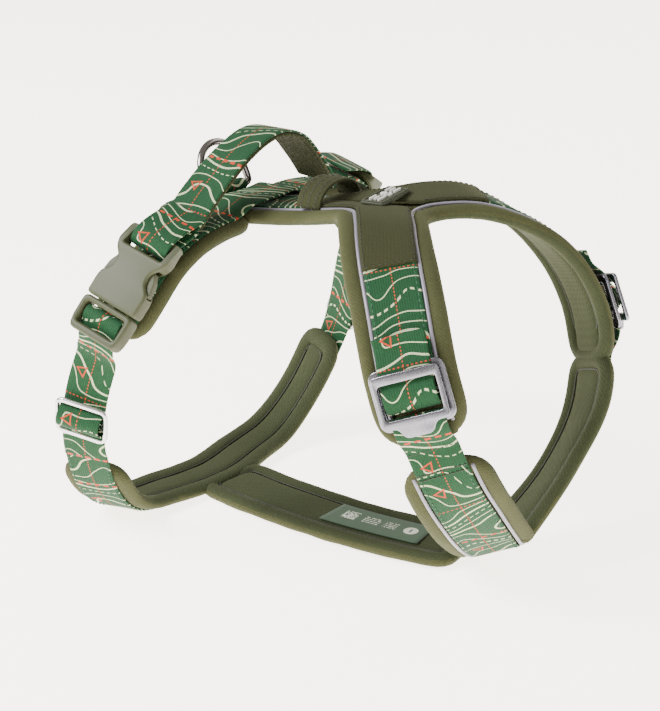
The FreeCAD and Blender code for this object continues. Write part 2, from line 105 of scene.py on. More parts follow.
class strapLine:
    # a smooth centre line measured by its length, with a direction across it
    def __init__(self, rows, symmetric=False):
        pts = [Vector(p) + Vector((bodyShift, 0, 0)) for p, d in rows]
        across = [Vector(d) for p, d in rows]
        first = flip(pts[1]) if symmetric else pts[0] * 2 - pts[1]
        last = flip(pts[-2]) if symmetric else pts[-1] * 2 - pts[-2]
        self.symmetric = symmetric
        self.pts = [first] + pts + [last]
        self.across = [across[0]] + across + [across[-1]]
        self.marks = []
        self.length = 0.0
        before = None
        for k in range(20 * (len(rows) - 1) + 1):
            i = min(k // 20, len(rows) - 2)
            here = self.mix(self.pts, i, k / 20 - i)
            self.length += (here - before).length if before else 0.0
            self.marks.append((self.length, k / 20))
            before = here

    def mix(self, values, i, t):
        a, b, c, d = values[i:i + 4]
        return (b * 2 + (c - a) * t + (a * 2 - b * 5 + c * 4 - d) * t ** 2
                + (b * 3 - a - c * 3 + d) * t ** 3) * 0.5

    def at(self, s):
        # point, along, across, outward; Past the length it goes on up the left side
        if s > self.length and self.symmetric:
            return self.mirrored(2 * self.length - s)
        before = min(s, 0.0)          # straight on before the start
        s = min(max(s, 0.0), self.length)
        k = 0
        while k < len(self.marks) - 2 and self.marks[k + 1][0] < s:
            k += 1
        (s0, u0), (s1, u1) = self.marks[k], self.marks[k + 1]
        u = u0 + (u1 - u0) * (s - s0) / (s1 - s0)
        i = min(int(u), len(self.pts) - 4)
        along = (self.mix(self.pts, i, u - i + 0.02) - self.mix(self.pts, i, u - i - 0.02)).normalized()
        across = self.mix(self.across, i, u - i)
        across = (across - along * across.dot(along)).normalized()
        return self.mix(self.pts, i, u - i) + along * before, along, across, along.cross(across)

    def mirrored(self, s):
        point, along, across, out = self.at(s)
        return flip(point), -flip(along), flip(across), flip(out)

    def spot(self, s, w=0.0, n=0.0):
        point, _, across, out = self.at(s)
        return point + across * w + out * n


neckLine = strapLine(neckRows, True)
girthLine = strapLine(girthRows, True)
spineLine = strapLine(spineRows)
sternumLine = strapLine(sternumRows)
keeperLine = strapLine(keeperRows)
handleLine = strapLine(handleRows)

# colours and materials


def hexColour(text):
    parts = [int(text[i:i + 2], 16) / 255 for i in (1, 3, 5)]
    return [c / 12.92 if c <= 0.04045 else ((c + 0.055) / 1.055) ** 2.4 for c in parts] + [1.0]


def addNode(tree, kind, settings={}, links={}):
    node = tree.nodes.new("ShaderNode" + kind)
    for key, value in settings.items():
        if isinstance(key, int) or key in node.inputs:
            node.inputs[key].default_value = value
        else:
            setattr(node, key, value)
    for key, socket in links.items():
        tree.links.new(socket, node.inputs[key])
    return node


def newMaterial(name, shader):
    # an empty material with a Principled shader; returns the tree and the shader
    finish = bpy.data.materials.new(name)
    finish.use_nodes = True
    finish.node_tree.nodes.clear()
    tree = finish.node_tree
    surface = addNode(tree, "BsdfPrincipled", shader)
    addNode(tree, "OutputMaterial", {}, {"Surface": surface.outputs[0]})
    return finish, tree, surface


class shaderValue:                     # a number in a node tree, worked with like a plain number
    def __init__(self, tree, socket):
        self.tree, self.socket = tree, socket

    def do(self, operation, *others):
        return calc(self.tree, operation, self, *others)

    def __add__(self, other):
        return self.do("ADD", other)

    def __sub__(self, other):
        return self.do("SUBTRACT", other)

    def __rsub__(self, other):
        return calc(self.tree, "SUBTRACT", other, self)

    def __mul__(self, other):
        return self.do("MULTIPLY", other)

    def __truediv__(self, other):
        return self.do("DIVIDE", other)


def calc(tree, operation, *values):    # one Math node on shader values and numbers
    node = addNode(tree, "Math", {"operation": operation})
    for i, value in enumerate(values):
        if isinstance(value, shaderValue):
            tree.links.new(value.socket, node.inputs[i])
        else:
            node.inputs[i].default_value = value
    return shaderValue(tree, node.outputs[0])


def strapCoords(tree):                 # millimetres along and across the strap, from the piece's own UV map
    uv = addNode(tree, "UVMap", {"uv_map": "strap"})
    split = addNode(tree, "SeparateXYZ", {}, {0: uv.outputs[0]})
    return [shaderValue(tree, split.outputs[k]) * 1000.0 for k in (0, 1)]


def flatVector(tree, x, y):
    return addNode(tree, "CombineXYZ", {}, {0: x.socket, 1: y.socket}).outputs[0]


def noiseValue(tree, vector, **settings):
    return shaderValue(tree, addNode(tree, "TexNoise", settings, {"Vector": vector}).outputs[0])


def objectNoise(tree, **settings):
    return noiseValue(tree, addNode(tree, "TexCoord").outputs["Object"], **settings)


def blendColours(tree, share, low, high):
    node = addNode(tree, "Mix", {"data_type": "RGBA"})
    for key, value in ((6, low), (7, high)):
        if isinstance(value, list):
            node.inputs[key].default_value = value
        else:
            tree.links.new(value, node.inputs[key])
    tree.links.new(share.socket, node.inputs[0])
    return node.outputs[2]


def finishSurface(tree, surface, colour, height, strength, distance):
    bump = addNode(tree, "Bump", {"Strength": strength, "Distance": distance}, {"Height": height.socket})
    tree.links.new(colour, surface.inputs["Base Color"])
    tree.links.new(bump.outputs[0], surface.inputs["Normal"])


def nylonTwill(name, light, dark, pitch, strength):
    # 600-denier nylon, twill woven: matt, with a fine diagonal rib and a soft nap at grazing angles
    cloth, tree, surface = newMaterial(name, {
        "Roughness": 0.88, "IOR": 1.53, "Sheen Weight": 0.1, "Sheen Roughness": 0.45,
        "Sheen Tint": hexColour("#C8CC9A"), "Specular IOR Level": 0.2})
    along, across = strapCoords(tree)
    ribs = ((along + across) * (2 * math.pi / pitch)).do("SINE")
    cross = ((along - across) * (2 * math.pi / (pitch * 1.7))).do("SINE")
    weave = ribs * 0.6 + cross * 0.4
    slub = objectNoise(tree, Scale=900.0, Detail=3.0)
    patches = objectNoise(tree, Scale=34.0, Detail=3.0)
    share = weave * 0.20 + (slub * 0.55 + patches * 0.45)
    colour = blendColours(tree, share, hexColour(dark), hexColour(light))
    finishSurface(tree, surface, colour, weave + slub * 1.4, strength, 0.0004)
    return cloth


printSizes = {"repeat": 74.0, "bar": 21.0, "triangle": 40.0, "hair": 55.0, "climb": 0.14, "thin": 0.28,
              "thick": 0.3}


def printedPolyester(name):
    # 25 mm polyester webbing, dye-printed: fine lengthwise ribs under a crisp map-like print
    cloth, tree, surface = newMaterial(name, {
        "Roughness": 0.75, "IOR": 1.57, "Sheen Weight": 0.04, "Sheen Roughness": 0.4,
                                              "Specular IOR Level": 0.22})
    along, across = strapCoords(tree)
    flat = flatVector(tree, along, across)

    def heightAt(shift):
        moved = addNode(tree, "VectorMath", {"operation": "ADD", 1: shift}, {0: flat}).outputs[0]
        hills = noiseValue(tree, moved, noise_dimensions="2D", Scale=0.036, Detail=0.6, Roughness=0.3)
        return hills * 4.6 + along * printSizes["climb"]

    def stripe(distance, half):
        return distance.do("ABSOLUTE").do("LESS_THAN", half)

    def dotted(length, pitch, share, start=900.0):
        return ((length + start) / pitch).do("FRACT").do("LESS_THAN", share)

    # contour lines of one width: the distance is divided by the field's slope per millimetre
    field = heightAt((0, 0, 0))
    rise = heightAt((1, 0, 0)) - field + printSizes["climb"]
    drop = heightAt((0, 1, 0)) - field
    slope = (rise * rise + drop * drop).do("SQRT")
    index = field.do("ROUND")
    off = (field - index).do("ABSOLUTE") / slope.do("MAXIMUM", 0.05)
    third = index.do("MODULO", 3.0).do("COMPARE", 0.0, 0.4)
    fifth = index.do("MODULO", 5.0).do("COMPARE", 2.0, 0.4)
    line = off.do("LESS_THAN", third * printSizes["thick"] + printSizes["thin"])
    cream = line * (1.0 - fifth).do("MAXIMUM", dotted(across, 3.6, 0.55, 100.0))

    # the orange marks: a dotted middle line, two cross rows and a small triangle
    repeat = (along + 2000.0).do("MODULO", printSizes["repeat"])
    middle = stripe(across, 0.28) * dotted(along, 2.0, 0.5)
    bar = stripe(repeat - printSizes["bar"], 0.75) * dotted(across, 5.2, 0.6)
    hair = stripe(repeat - printSizes["hair"], 0.32) * dotted(across, 2.3, 0.5)
    tx, ty = repeat - printSizes["triangle"], across + 5.5
    sides = [tx * math.cos(a) + ty * math.sin(a) for a in map(math.radians, (200, 320, 80))]
    inner = sides[0].do("MAXIMUM", sides[1]).do("MAXIMUM", sides[2])
    orange = middle.do("MAXIMUM", bar).do("MAXIMUM", hair).do("MAXIMUM", stripe(inner - 1.7, 0.38))

    slub = objectNoise(tree, Scale=1300.0, Detail=2.0)
    ribs = (across * (2 * math.pi / 1.25)).do("SINE")
    picks = (along * (2 * math.pi / 0.8)).do("SINE")
    weave = ribs * 0.7 + picks * 0.35
    ground = blendColours(tree, weave * 0.14 + slub, hexColour("#042711"), hexColour("#0D4A25"))
    inked = blendColours(tree, cream, ground, hexColour("#B4BC98"))
    colour = blendColours(tree, orange, inked, hexColour("#B03A20"))
    finishSurface(tree, surface, colour, weave + slub * 1.2, 0.35, 0.0003)
    return cloth


def speckled(name, light, dark, scale, bumpStrength, shader):    # a solid material with a fine grain
    finish, tree, surface = newMaterial(name, shader)
    grain = objectNoise(tree, Scale=scale, Detail=4.0, Roughness=0.6)
    # larger soft blotches of the two colours; on the aluminium plates these blotches are painted reflections
    cloud = objectNoise(tree, Scale=scale / 22, Detail=2.0)
    colour = blendColours(tree, grain * 0.6 + cloud * 0.4, hexColour(dark), hexColour(light))
    finishSurface(tree, surface, colour, grain, bumpStrength, 0.0002)
    return finish


def satinLabel(name):
    # woven satin tape with generic care marks: a block, rows of dashes and a ring, all without lettering
    cloth, tree, surface = newMaterial(name, {"Roughness": 0.6, "IOR": 1.53, "Sheen Weight": 0.2})
    along, across = strapCoords(tree)

    def within(value, low, high):
        return value.do("GREATER_THAN", low) * value.do("LESS_THAN", high)

    cells = flatVector(tree, (along / 0.9).do("FLOOR"), (across / 0.9).do("FLOOR"))
    squares = addNode(tree, "TexWhiteNoise", {"noise_dimensions": "2D"}, {"Vector": cells}).outputs[0]
    block = within(along, 60.0, 69.0) * within(across, -3.0,
                                               6.0) * shaderValue(tree, squares).do("GREATER_THAN", 0.42)
    lines = flatVector(tree, along, (across / 2.0).do("FLOOR"))
    words = noiseValue(tree, lines, noise_dimensions="2D", Scale=1.1, Detail=0.0).do("GREATER_THAN", 0.45)
    rows = ((across + 20.0) / 2.0).do("FRACT").do("LESS_THAN", 0.42)
    columns = within(along, 73.0, 84.0).do("MAXIMUM", within(along, 87.0, 95.0))
    dashes = rows * words * columns * within(across, -3.0, 5.0)
    spotX, spotY = along - 104.0, across - 1.0
    away = (spotX * spotX + spotY * spotY).do("SQRT")
    disc = away.do("LESS_THAN", 4.2) - within(spotX, -0.6, 0.6) * within(spotY, -2.0, 2.0)
    marks = block.do("MAXIMUM", dashes).do("MAXIMUM", disc)
    threads = (along * (2 * math.pi / 0.9)).do("SINE")
    ground = blendColours(tree, threads * 0.3 + 0.5, hexColour("#22402A"), hexColour("#2E4B2E"))
    colour = blendColours(tree, marks, ground, hexColour("#C8CCBD"))
    finishSurface(tree, surface, colour, threads, 0.2, 0.0002)
    return cloth


paddingCloth = nylonTwill("nylon_twill_padding", "#474A2D", "#2B2D19", 1.2, 0.3)
patchCloth = nylonTwill("nylon_plain_patch", "#33361F", "#252715", 1.3, 0.25)
# the faces towards the dog get a copy of the padding cloth a shade darker and greener: painted shade for the
# inside faces, which the light hardly reaches
innerShadeCloth = nylonTwill("padding_painted_inner_shade", "#3B412A", "#252B18", 1.6, 0.35)
liningCloth = nylonTwill("ribbed_lining", "#363A1F", "#1C2010", 2.6, 0.6)
webbingCloth = printedPolyester("printed_polyester_webbing")
# glass-bead reflective tape: pale grey, slightly pearly because the beads send light back
reflectiveTape = speckled("reflective_bead_tape", "#8D8998", "#6D6977", 2600.0, 0.2,
                          {"Roughness": 0.38, "Metallic": 0.25, "Sheen Weight": 0.3})
# acetal (POM), injection moulded with a light spark texture: dense, slightly waxy satin
mouldedAcetal = speckled("moulded_acetal", "#42462F", "#343823", 1500.0, 0.16,
                         {"Roughness": 0.5, "IOR": 1.48, "Specular IOR Level": 0.35})
# aluminium alloy, tumbled and clear anodised; its colour swings between light and dark grey in soft blotches:
# painted reflections, standing in for the bright edges and dark faces a real surrounding would mirror
aluminiumPaintedReflections = speckled("aluminium_painted_reflections", "#A9A9B4", "#45454E", 2200.0, 0.12,
                             {"Metallic": 1.0, "Roughness": 0.24})
# zinc alloy, die cast and nickel plated: brighter than the anodised plates
platedZinc = speckled("nickel_plated_zinc", "#E2E1E6", "#C8C7CE", 1400.0, 0.05,
                      {"Metallic": 1.0, "Roughness": 0.2})
# welded steel wire, polished: dark reflections with sharp highlights
polishedSteel = speckled("polished_steel", "#9A9494", "#4F4A4B", 1800.0, 0.04,
                         {"Metallic": 1.0, "Roughness": 0.16})
# soft PVC rubber, moulded: matt with low contrast
softRubber = speckled("soft_moulded_rubber", "#3B3F2B", "#2C3020", 1900.0, 0.15,
                      {"Roughness": 0.6, "IOR": 1.52})
whiteRubber = speckled("white_moulded_rubber", "#DCDBD6", "#C9C8C2", 1900.0, 0.12,
                       {"Roughness": 0.55, "IOR": 1.52})
# bonded polyester sewing thread, near black and green: small glossy twists
darkThread = speckled("dark_thread", "#2B2D20", "#1B1C14", 4200.0, 0.3, {"Roughness": 0.6})
greenThread = speckled("green_thread", "#22553A", "#163C28", 4200.0, 0.3, {"Roughness": 0.6})
careLabel = satinLabel("woven_satin_label")
print("materials made")

# mesh tools


def finishPiece(name, mesh, material, body):
    mesh.materials.clear()
    mesh.materials.append(material)
    mesh.polygons.foreach_set("use_smooth", [True] * len(mesh.polygons))
    piece = bpy.data.objects.new(name, mesh)
    bpy.context.scene.collection.objects.link(piece)
    if body:
        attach(piece, body)
    return piece


def newPiece(name, shape, material, slot, body="harness"):
    # a shape is its points in millimetres, its faces, and each point's (along, across)
    points, faces, coords = shape
    mesh = bpy.data.meshes.new(name)
    mesh.from_pydata([Vector(p) * mm for p in points], [], faces)
    layer = mesh.uv_layers.new(name="strap")
    for loop in mesh.loops:
        along, across = coords[loop.vertex_index]
        layer.data[loop.index].uv = (along * mm, across * mm)
    check = bmesh.new()
    check.from_mesh(mesh)
    bmesh.ops.recalc_face_normals(check, faces=check.faces)
    check.to_mesh(mesh)
    check.free()
    return finishPiece(name, mesh, material, body)


def newPair(name, shape, material, slot, body="harness", drift=31.0):
    # the right piece and its mirror image; the print on the left one is shifted along
    points, faces, coords = shape
    bodies = [body and (body if body == "harness" else side + body) for side in ("right_", "left_")]
    mirrored = [flip(p) for p in points], [f[::-1] for f in faces], [(a + drift, w) for a, w in coords]
    return (newPiece("right_" + name, shape, material, slot, bodies[0]),
            newPiece("left_" + name, mirrored, material, slot, bodies[1]))


def stands(pair, *nodes):
    for piece, side in zip(pair, ("right_", "left_")):
        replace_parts(piece, *[side + n for n in nodes])


def skin(rings, closed=False, capped=True):    # faces over equal rings of points; returns points and faces
    count = len(rings[0])
    points = [p for ring in rings for p in ring]
    faces = []
    for i in range(len(rings) if closed else len(rings) - 1):
        a, b = i * count, ((i + 1) % len(rings)) * count
        faces += [[a + k, a + (k + 1) % count, b + (k + 1) % count, b + k] for k in range(count)]
    if capped and not closed:
        faces.append(list(range(count))[::-1])
        faces.append([(len(rings) - 1) * count + k for k in range(count)])
    return points, faces


def oval(halfWidth, halfHeight, power, sides):
    # points of a rounded flat section: power 2 is an ellipse, higher is squarer
    shape = []
    for k in range(sides):
        a = 2 * math.pi * k / sides
        c, s = math.cos(a), math.sin(a)
        shape.append((halfWidth * math.copysign(abs(c) ** (2 / power), c),
                      halfHeight * math.copysign(abs(s) ** (2 / power), s)))
    return shape


def ribbonData(frames, width, thick, start=0.0, sides=20):
    # a woven strap over (point, across, out) frames, with its distance along as it goes
    section = oval(width / 2, thick / 2, 5.0, sides)
    rings, coords, along = [], [], start
    for i, (point, across, out) in enumerate(frames):
        along += (point - frames[i - 1][0]).length if i else 0.0
        rings.append([point + across * w + out * n for w, n in section])
        coords += [(along, w) for w, n in section]
    points, faces = skin(rings)
    return points, faces, coords


def strapFrames(line, start, end, lift, step=2.5, middle=0.0):
    # frames along a line at a height that may change with the station
    out = []
    for s in spread(start, end, step):
        point, _, across, up = line.at(s)
        height = lift(s) if callable(lift) else lift
        out.append((point + across * middle + up * height, across, up))
    return out


def tubeData(path, rAcross, rHeight, closed=False, sides=14, start=0.0):
    # a soft tube over (point, out) stations
    rings, coords, along = [], [], start
    total = len(path)
    for i, (point, out) in enumerate(path):
        ahead = path[(i + 1) % total][0] if closed or i < total - 1 else point
        behind = path[i - 1][0] if closed or i else point
        forward = (ahead - behind).normalized()
        side = forward.cross(out).normalized()
        up = side.cross(forward).normalized()
        along += (point - path[i - 1][0]).length if i else 0.0
        ring = []
        for k in range(sides):
            a = 2 * math.pi * k / sides
            ring.append(point + side * (math.cos(a) * rAcross) + up * (math.sin(a) * rHeight))
            coords.append((along, a * rAcross))
        rings.append(ring)
    points, faces = skin(rings, closed)
    return points, faces, coords


def smoothPath(path, passes, closed=True):
    for _ in range(passes):
        fresh = []
        for i, (point, out) in enumerate(path):
            if not closed and i in (0, len(path) - 1):
                fresh.append((point, out))
                continue
            a, b = path[i - 1], path[(i + 1) % len(path)]
            fresh.append((point * 0.5 + (a[0] + b[0]) * 0.25,
                          (out * 0.5 + (a[1] + b[1]) * 0.25).normalized()))
        path = fresh
    return path


def evenPath(path, step, closed=True):    # the same path with its stations evenly spaced
    rows = path + path[:1] if closed else path
    lengths = [0.0]
    for a, b in zip(rows, rows[1:]):
        lengths.append(lengths[-1] + (b[0] - a[0]).length)
    count = max(4, round(lengths[-1] / step))
    out, k = [], 0
    for i in range(count if closed else count + 1):
        target = lengths[-1] * i / count
        while k < len(rows) - 2 and lengths[k + 1] < target:
            k += 1
        share = (target - lengths[k]) / max(lengths[k + 1] - lengths[k], 1e-6)
        out.append((rows[k][0].lerp(rows[k + 1][0], share),
                    rows[k][1].lerp(rows[k + 1][1], share).normalized()))
    return out


def join(parts):                       # several (points, faces, coords) sets as one
    points, faces, coords = [], [], []
    for p, f, c in parts:
        faces += [[i + len(points) for i in face] for face in f]
        points += p
        coords += c
    return points, faces, coords


def pucker(points, coords, amount, pitch):    # small sewn-in waves along a padded strap, never the same twice
    out = []
    for point, (along, across) in zip(points, coords):
        wave = noise.noise(Vector((along / pitch, across / 9.0, 3.7))) * amount
        grain = noise.noise(Vector((along / 5.0, across / 4.0, 9.1))) * amount * 0.35
        out.append(Vector(point) + Vector((0.3, 0.2, 1.0)).normalized() * (wave + grain))
    return out


# padded pieces: a quilted middle panel and a rolled border sewn round it
def panelData(line, start, end, halfWidth, halfHeight, lift=0.0, corner=6.0, step=3.0):
    rings, coords = [], []
    for s in spread(start, end, step):
        nearEnd = min(s - start, end - s)
        round_ = math.sqrt(max(0.02, 1 - (1 - min(nearEnd / corner, 1.0)) ** 2))
        point, _, across, out = line.at(s)
        height = lift(s) if callable(lift) else lift
        section = oval(halfWidth * (0.6 + 0.4 * round_), halfHeight * round_, 3.0, 26)
        rings.append([point + across * w + out * (n + height) for w, n in section])
        coords += [(s, w + n) for w, n in section]
    points, faces = skin(rings)
    return points, faces, coords


def borderPath(line, start, end, half, corner, lift=0.0, step=3.0):
    # the rolled border's route round a strap with rounded ends
    rows = [(s, -half) for s in spread(start + corner, end - corner, step)]
    rows += [(end - corner + corner * math.sin(a), -half + corner - corner * math.cos(a))
             for a in spread(0.2, 1.5, 0.26)]
    rows += [(end, w) for w in spread(-half + corner, half - corner, step)]
    rows += [(end - corner + corner * math.cos(a), half - corner + corner * math.sin(a))
             for a in spread(0.1, 1.4, 0.26)]
    rows += [(s, half) for s in reversed(spread(start + corner, end - corner, step))]
    rows += [(start + corner - corner * math.sin(a), half - corner + corner * math.cos(a))
             for a in spread(0.2, 1.5, 0.26)]
    rows += [(start, w) for w in reversed(spread(-half + corner, half - corner, step))]
    rows += [(start + corner - corner * math.cos(a), -half + corner - corner * math.sin(a))
             for a in spread(0.1, 1.4, 0.26)]
    path = []
    for s, w in rows:
        point, _, across, out = line.at(s)
        height = lift(s) if callable(lift) else lift
        path.append((point + across * w + out * height, out))
    return path


rollHalf = strapSizes["padWidth"] / 2 - strapSizes["rollAcross"]


def paddedStrap(line, start, end, half=rollHalf, lift=0.0, corner=9.0, roll=strapSizes["rollAcross"]):
    # a middle channel and the border rolled round it, as two closed tubes that meet in a groove
    inset = roll + 0.6
    channel = half - roll + 0.1
    panel = panelData(line, start + inset + 2, end - inset - 2, channel, strapSizes["panelHeight"], lift)
    route = smoothPath(evenPath(borderPath(line, start + inset, end - inset, half, corner, lift), 3.0), 3)
    border = tubeData(route, roll, strapSizes["rollHeight"], True)
    points, faces, coords = join([panel, border])
    return pucker(points, coords, 0.35, 14.0), faces, coords


def seamPiece(line, start, end, half, lift, corner=5.0):
    # the dark thread that lies in the groove between a channel and its border
    route = smoothPath(evenPath(borderPath(line, start, end, half, corner, lift), 2.5), 2)
    return tubeData(route, 0.55, 0.45, True, 6)


def shadeInside(piece):                 # the faces that look at the dog's body get the darker cloth: painted shade for the inside faces
    piece.data.materials.append(innerShadeCloth)
    for face in piece.data.polygons:
        inward = Vector((face.center.x, 0, 0.098)) - face.center
        face.material_index = 1 if face.normal.dot(inward.normalized()) > 0.2 else 0


def padded(pieces, fill, *nodes):
    for piece, node in zip(pieces, nodes):
        # the faces turned towards the dog's middle take the darker cloth, as painted shade
        shadeInside(piece)
        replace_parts(piece, *([node] if isinstance(node, str) else node))


girthPadStart = 212.0
girthPadSizes = {"half": 14.0, "roll": 5.6, "start": girthPadStart + 11, "end": girthPadStart - 7,
                 "corner": 6.0}


def grooves(line, start, end, half, lifts, corner):    # seam threads on one or both faces of a padded strap
    return join([seamPiece(line, start, end, half, lift, corner) for lift in lifts])


padEnd = 2 * girthLine.length - girthPadSizes["end"]
shape = paddedStrap(girthLine, girthPadSizes["start"], padEnd, girthPadSizes["half"], 0.0,
                    girthPadSizes["corner"], girthPadSizes["roll"])
padded([newPiece("girth_pad_quilted", shape, paddingCloth, "padding")], 0.7, "girth_pad")
shape = grooves(girthLine, girthPadSizes["start"] + 12, padEnd - 12, 8.6, [-2.3], 3.0)
newPiece("girth_pad_seam", shape, darkThread, "padding")

wingEnd = 133.0
shape = paddedStrap(girthLine, 18.0, wingEnd, half=rollHalf - 4.8, lift=-6.75)
padded(newPair("wing_pad_quilted", shape, paddingCloth, "padding"), 0.7,
       "right_wing_pad", "left_wing_pad")

chestStart = 175.0
farReach = 13.0                        # the left wing is tucked up to the left shoulder pad
shape = paddedStrap(neckLine, chestStart, 2 * neckLine.length - chestStart + farReach)
padded([newPiece("chest_pad_quilted", shape, paddingCloth, "padding")], 0.7, "chest_pad")

shape = paddedStrap(sternumLine, 0, sternumLine.length, corner=4.0)
padded([newPiece("sternum_pad_quilted", shape, paddingCloth, "padding")], 0.7, "sternum_pad")
shape = grooves(sternumLine, 9, sternumLine.length - 9, 13.7, [2.2], 3.0)
newPiece("sternum_pad_seam", shape, darkThread, "padding")
shape = grooves(neckLine, chestStart + 10, 2 * neckLine.length - chestStart + farReach - 10, 13.7, [-2.2],
                3.0)
newPiece("chest_pad_seam", shape, darkThread, "padding")
print("padded straps made")

# the back, the yoke and both shoulder pads are one padded body with one border round it
yokeSizes = {"spineRear": -9.0, "spineTurn": 104.0, "neckTurn": 15.0, "shoulderEnd": 162.0,
             "crotchFill": 5.0, "crotchWide": 8.0}


def crotch(s, width):                  # the front edge fills out a little where the two shoulders part
    point, _, across, _ = neckLine.at(s)
    reach = -point.y / across.y
    filled = width + yokeSizes["crotchFill"] * math.exp(-((reach - width) / yokeSizes["crotchWide"]) ** 2)
    return min(filled, reach)


def bodyRows(half, rear=yokeSizes["spineRear"], end=yokeSizes["shoulderEnd"], step=3.0):
    # rear edge and front edge of the right half, as matching rows of (point, out)
    rows = []
    for s in spread(rear, yokeSizes["spineTurn"], step):
        point, _, across, out = spineLine.at(s)
        rows.append(((point - across * half, out), (point, out)))
    for s in spread(yokeSizes["neckTurn"], end, step):
        point, _, across, out = neckLine.at(s)
        rows.append(((point - across * half, out), (point + across * crotch(s, half), out)))
    rear_ = smoothPath([r[0] for r in rows], 5, closed=False)
    return list(zip(rear_, [r[1] for r in rows]))


def halfSheet(rows, lift, crown, count=12):
    # a grid across each row; returns a list of rows of points raised to the sheet's height
    grid = []
    for (a, outA), (b, outB) in rows:
        line = []
        for k in range(count + 1):
            t = k / count
            out = outA.lerp(outB, t).normalized()
            onPlane = abs(b.y) < 1e-4
            across = t if onPlane else 2 * t - 1
            edge = 1 - t if onPlane else abs(across)
            rise = crown * (1 - edge ** 6)
            line.append(a.lerp(b, t) + out * (lift + rise))
        grid.append(line)
    return grid


def shell(rows, low, high, crownLow, crownHigh, leftRows=None, count=12):
    # a closed body between a lower and an upper sheet: the right half and a mirrored left half
    rightHalf = halfShell(rows, low, high, crownLow, crownHigh, count)
    points, faces, coords = halfShell(leftRows or rows, low, high, crownLow, crownHigh, count)
    leftHalf = [flip(p) for p in points], [f[::-1] for f in faces], [(a, -w) for a, w in coords]
    return join([rightHalf, leftHalf])


def halfShell(rows, low, high, crownLow, crownHigh, count):
    top, bottom = halfSheet(rows, high, crownHigh, count), halfSheet(rows, low, -crownLow, count)
    points, faces, coords = [], [], []
    size = count + 1
    for grid in (top, bottom):
        for i, line in enumerate(grid):
            for k, p in enumerate(line):
                points.append(p)
                coords.append((p.x * 0.8 - p.z * 0.6 if i > 0 else p.x, -p.y))
    n = len(rows)
    for i in range(n - 1):
        for k in range(count):
            a = i * size + k
            faces.append([a, a + 1, a + 1 + size, a + size])
            b = a + n * size
            faces.append([b + size, b + size + 1, b + 1, b])
        a, b = i * size, i * size + n * size
        faces.append([a, a + size, b + size, b])
        if abs(rows[i][1][0].y) > 1e-4 or abs(rows[i + 1][1][0].y) > 1e-4:
            faces.append([b + count, b + count + size, a + count + size, a + count])
    for i in (0, n - 1):
        for k in range(count):
            a, b = i * size + k, i * size + k + n * size
            faces.append([a, b, b + 1, a + 1] if i == 0 else [a + 1, b + 1, b, a])
    return points, faces, coords


def welded(piece, distance=0.00005):
    work = bmesh.new()
    work.from_mesh(piece.data)
    bmesh.ops.remove_doubles(work, verts=work.verts, dist=distance)
    bmesh.ops.recalc_face_normals(work, faces=work.faces)
    work.to_mesh(piece.data)
    work.free()
    return piece


bodyHalf = strapSizes["panelHalf"]
shape = shell(bodyRows(bodyHalf + 0.4), -1.2, 1.2, 2.0, 2.0)
bodyPanel = welded(newPiece("body_panel_quilted", shape, paddingCloth, "padding"))
padded([bodyPanel], 0.6, ["yoke_pad"])


def halfBorder(edge, end, rearEnd):
    # the border's route round the right half, from the middle of the rear end to the crotch
    rear = yokeSizes["spineRear"]
    route = [(spineLine.spot(rearEnd, w), spineLine.at(rear)[3]) for w in reversed(spread(-edge + 8, 0, 3))]
    route += [(spineLine.spot(s, -edge), spineLine.at(s)[3])
              for s in spread(rearEnd + 6, yokeSizes["spineTurn"] - 4, 3.0)]
    route += [(neckLine.spot(s, -edge), neckLine.at(s)[3])
              for s in spread(yokeSizes["neckTurn"] + 6, end - 9, 3.0)]
    route += [(neckLine.spot(end - 3, w), neckLine.at(end - 3)[3])
              for w in spread(-edge + 7, edge - 7, 3.0)]
    for s in reversed(spread(yokeSizes["neckTurn"], end - 9, 3.0)):
        w = crotch(s, edge)
        if neckLine.spot(s, w).y < -3.0:
            route.append((neckLine.spot(s, w), neckLine.at(s)[3]))
    return route


rightHalf = halfBorder(rollHalf, yokeSizes["shoulderEnd"], yokeSizes["spineRear"])
leftHalf = halfBorder(rollHalf, yokeSizes["shoulderEnd"] + 6, yokeSizes["spineRear"])
loop = rightHalf + [(flip(p), flip(o)) for p, o in reversed(leftHalf[1:])]
loop = smoothPath(evenPath(loop, 3.0), 6)
points, faces, coords = tubeData(loop, strapSizes["rollAcross"], strapSizes["rollHeight"], True)
shape = pucker(points, coords, 0.3, 16.0), faces, coords
bodyBorder = newPiece("body_border_roll", shape, paddingCloth, "padding")
padded([bodyBorder], 0.8, ["back_pad", "right_shoulder_pad", "left_shoulder_pad"])
seams = []
for lift in (-2.2, 2.6):
    half = halfBorder(strapSizes["panelHalf"] - 0.2, yokeSizes["shoulderEnd"] - 4,
                      yokeSizes["spineRear"] + 7)
    around = half + [(flip(p), flip(o)) for p, o in reversed(half[1:])]
    around = smoothPath(evenPath([(p + o * lift, o) for p, o in around], 2.5), 4)
    seams.append(tubeData(around, 0.45, 0.35, True, 6))
shape = join(seams)
newPiece("body_seams", shape, darkThread, "padding")
print("padded body made")

# yoke patch with a turned and stitched edge, and the reflective piping beside it
patchSizes = {"half": 13.9, "rear": 102.0, "end": 73.0, "leftEnd": 51.0, "lift": 4.9}
rows, leftRows = (bodyRows(patchSizes["half"], rear=patchSizes["rear"] - 6, end=patchSizes[k], step=2.5)
                  for k in ("end", "leftEnd"))
shape = shell(rows, patchSizes["lift"] - 0.6, patchSizes["lift"] + 0.7, 0.0, 0.5, leftRows)
patch = welded(newPiece("yoke_patch_sewn", shape, patchCloth, "patch"))
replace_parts(patch, "yoke_patch", "right_patch_arm", "left_patch_arm")


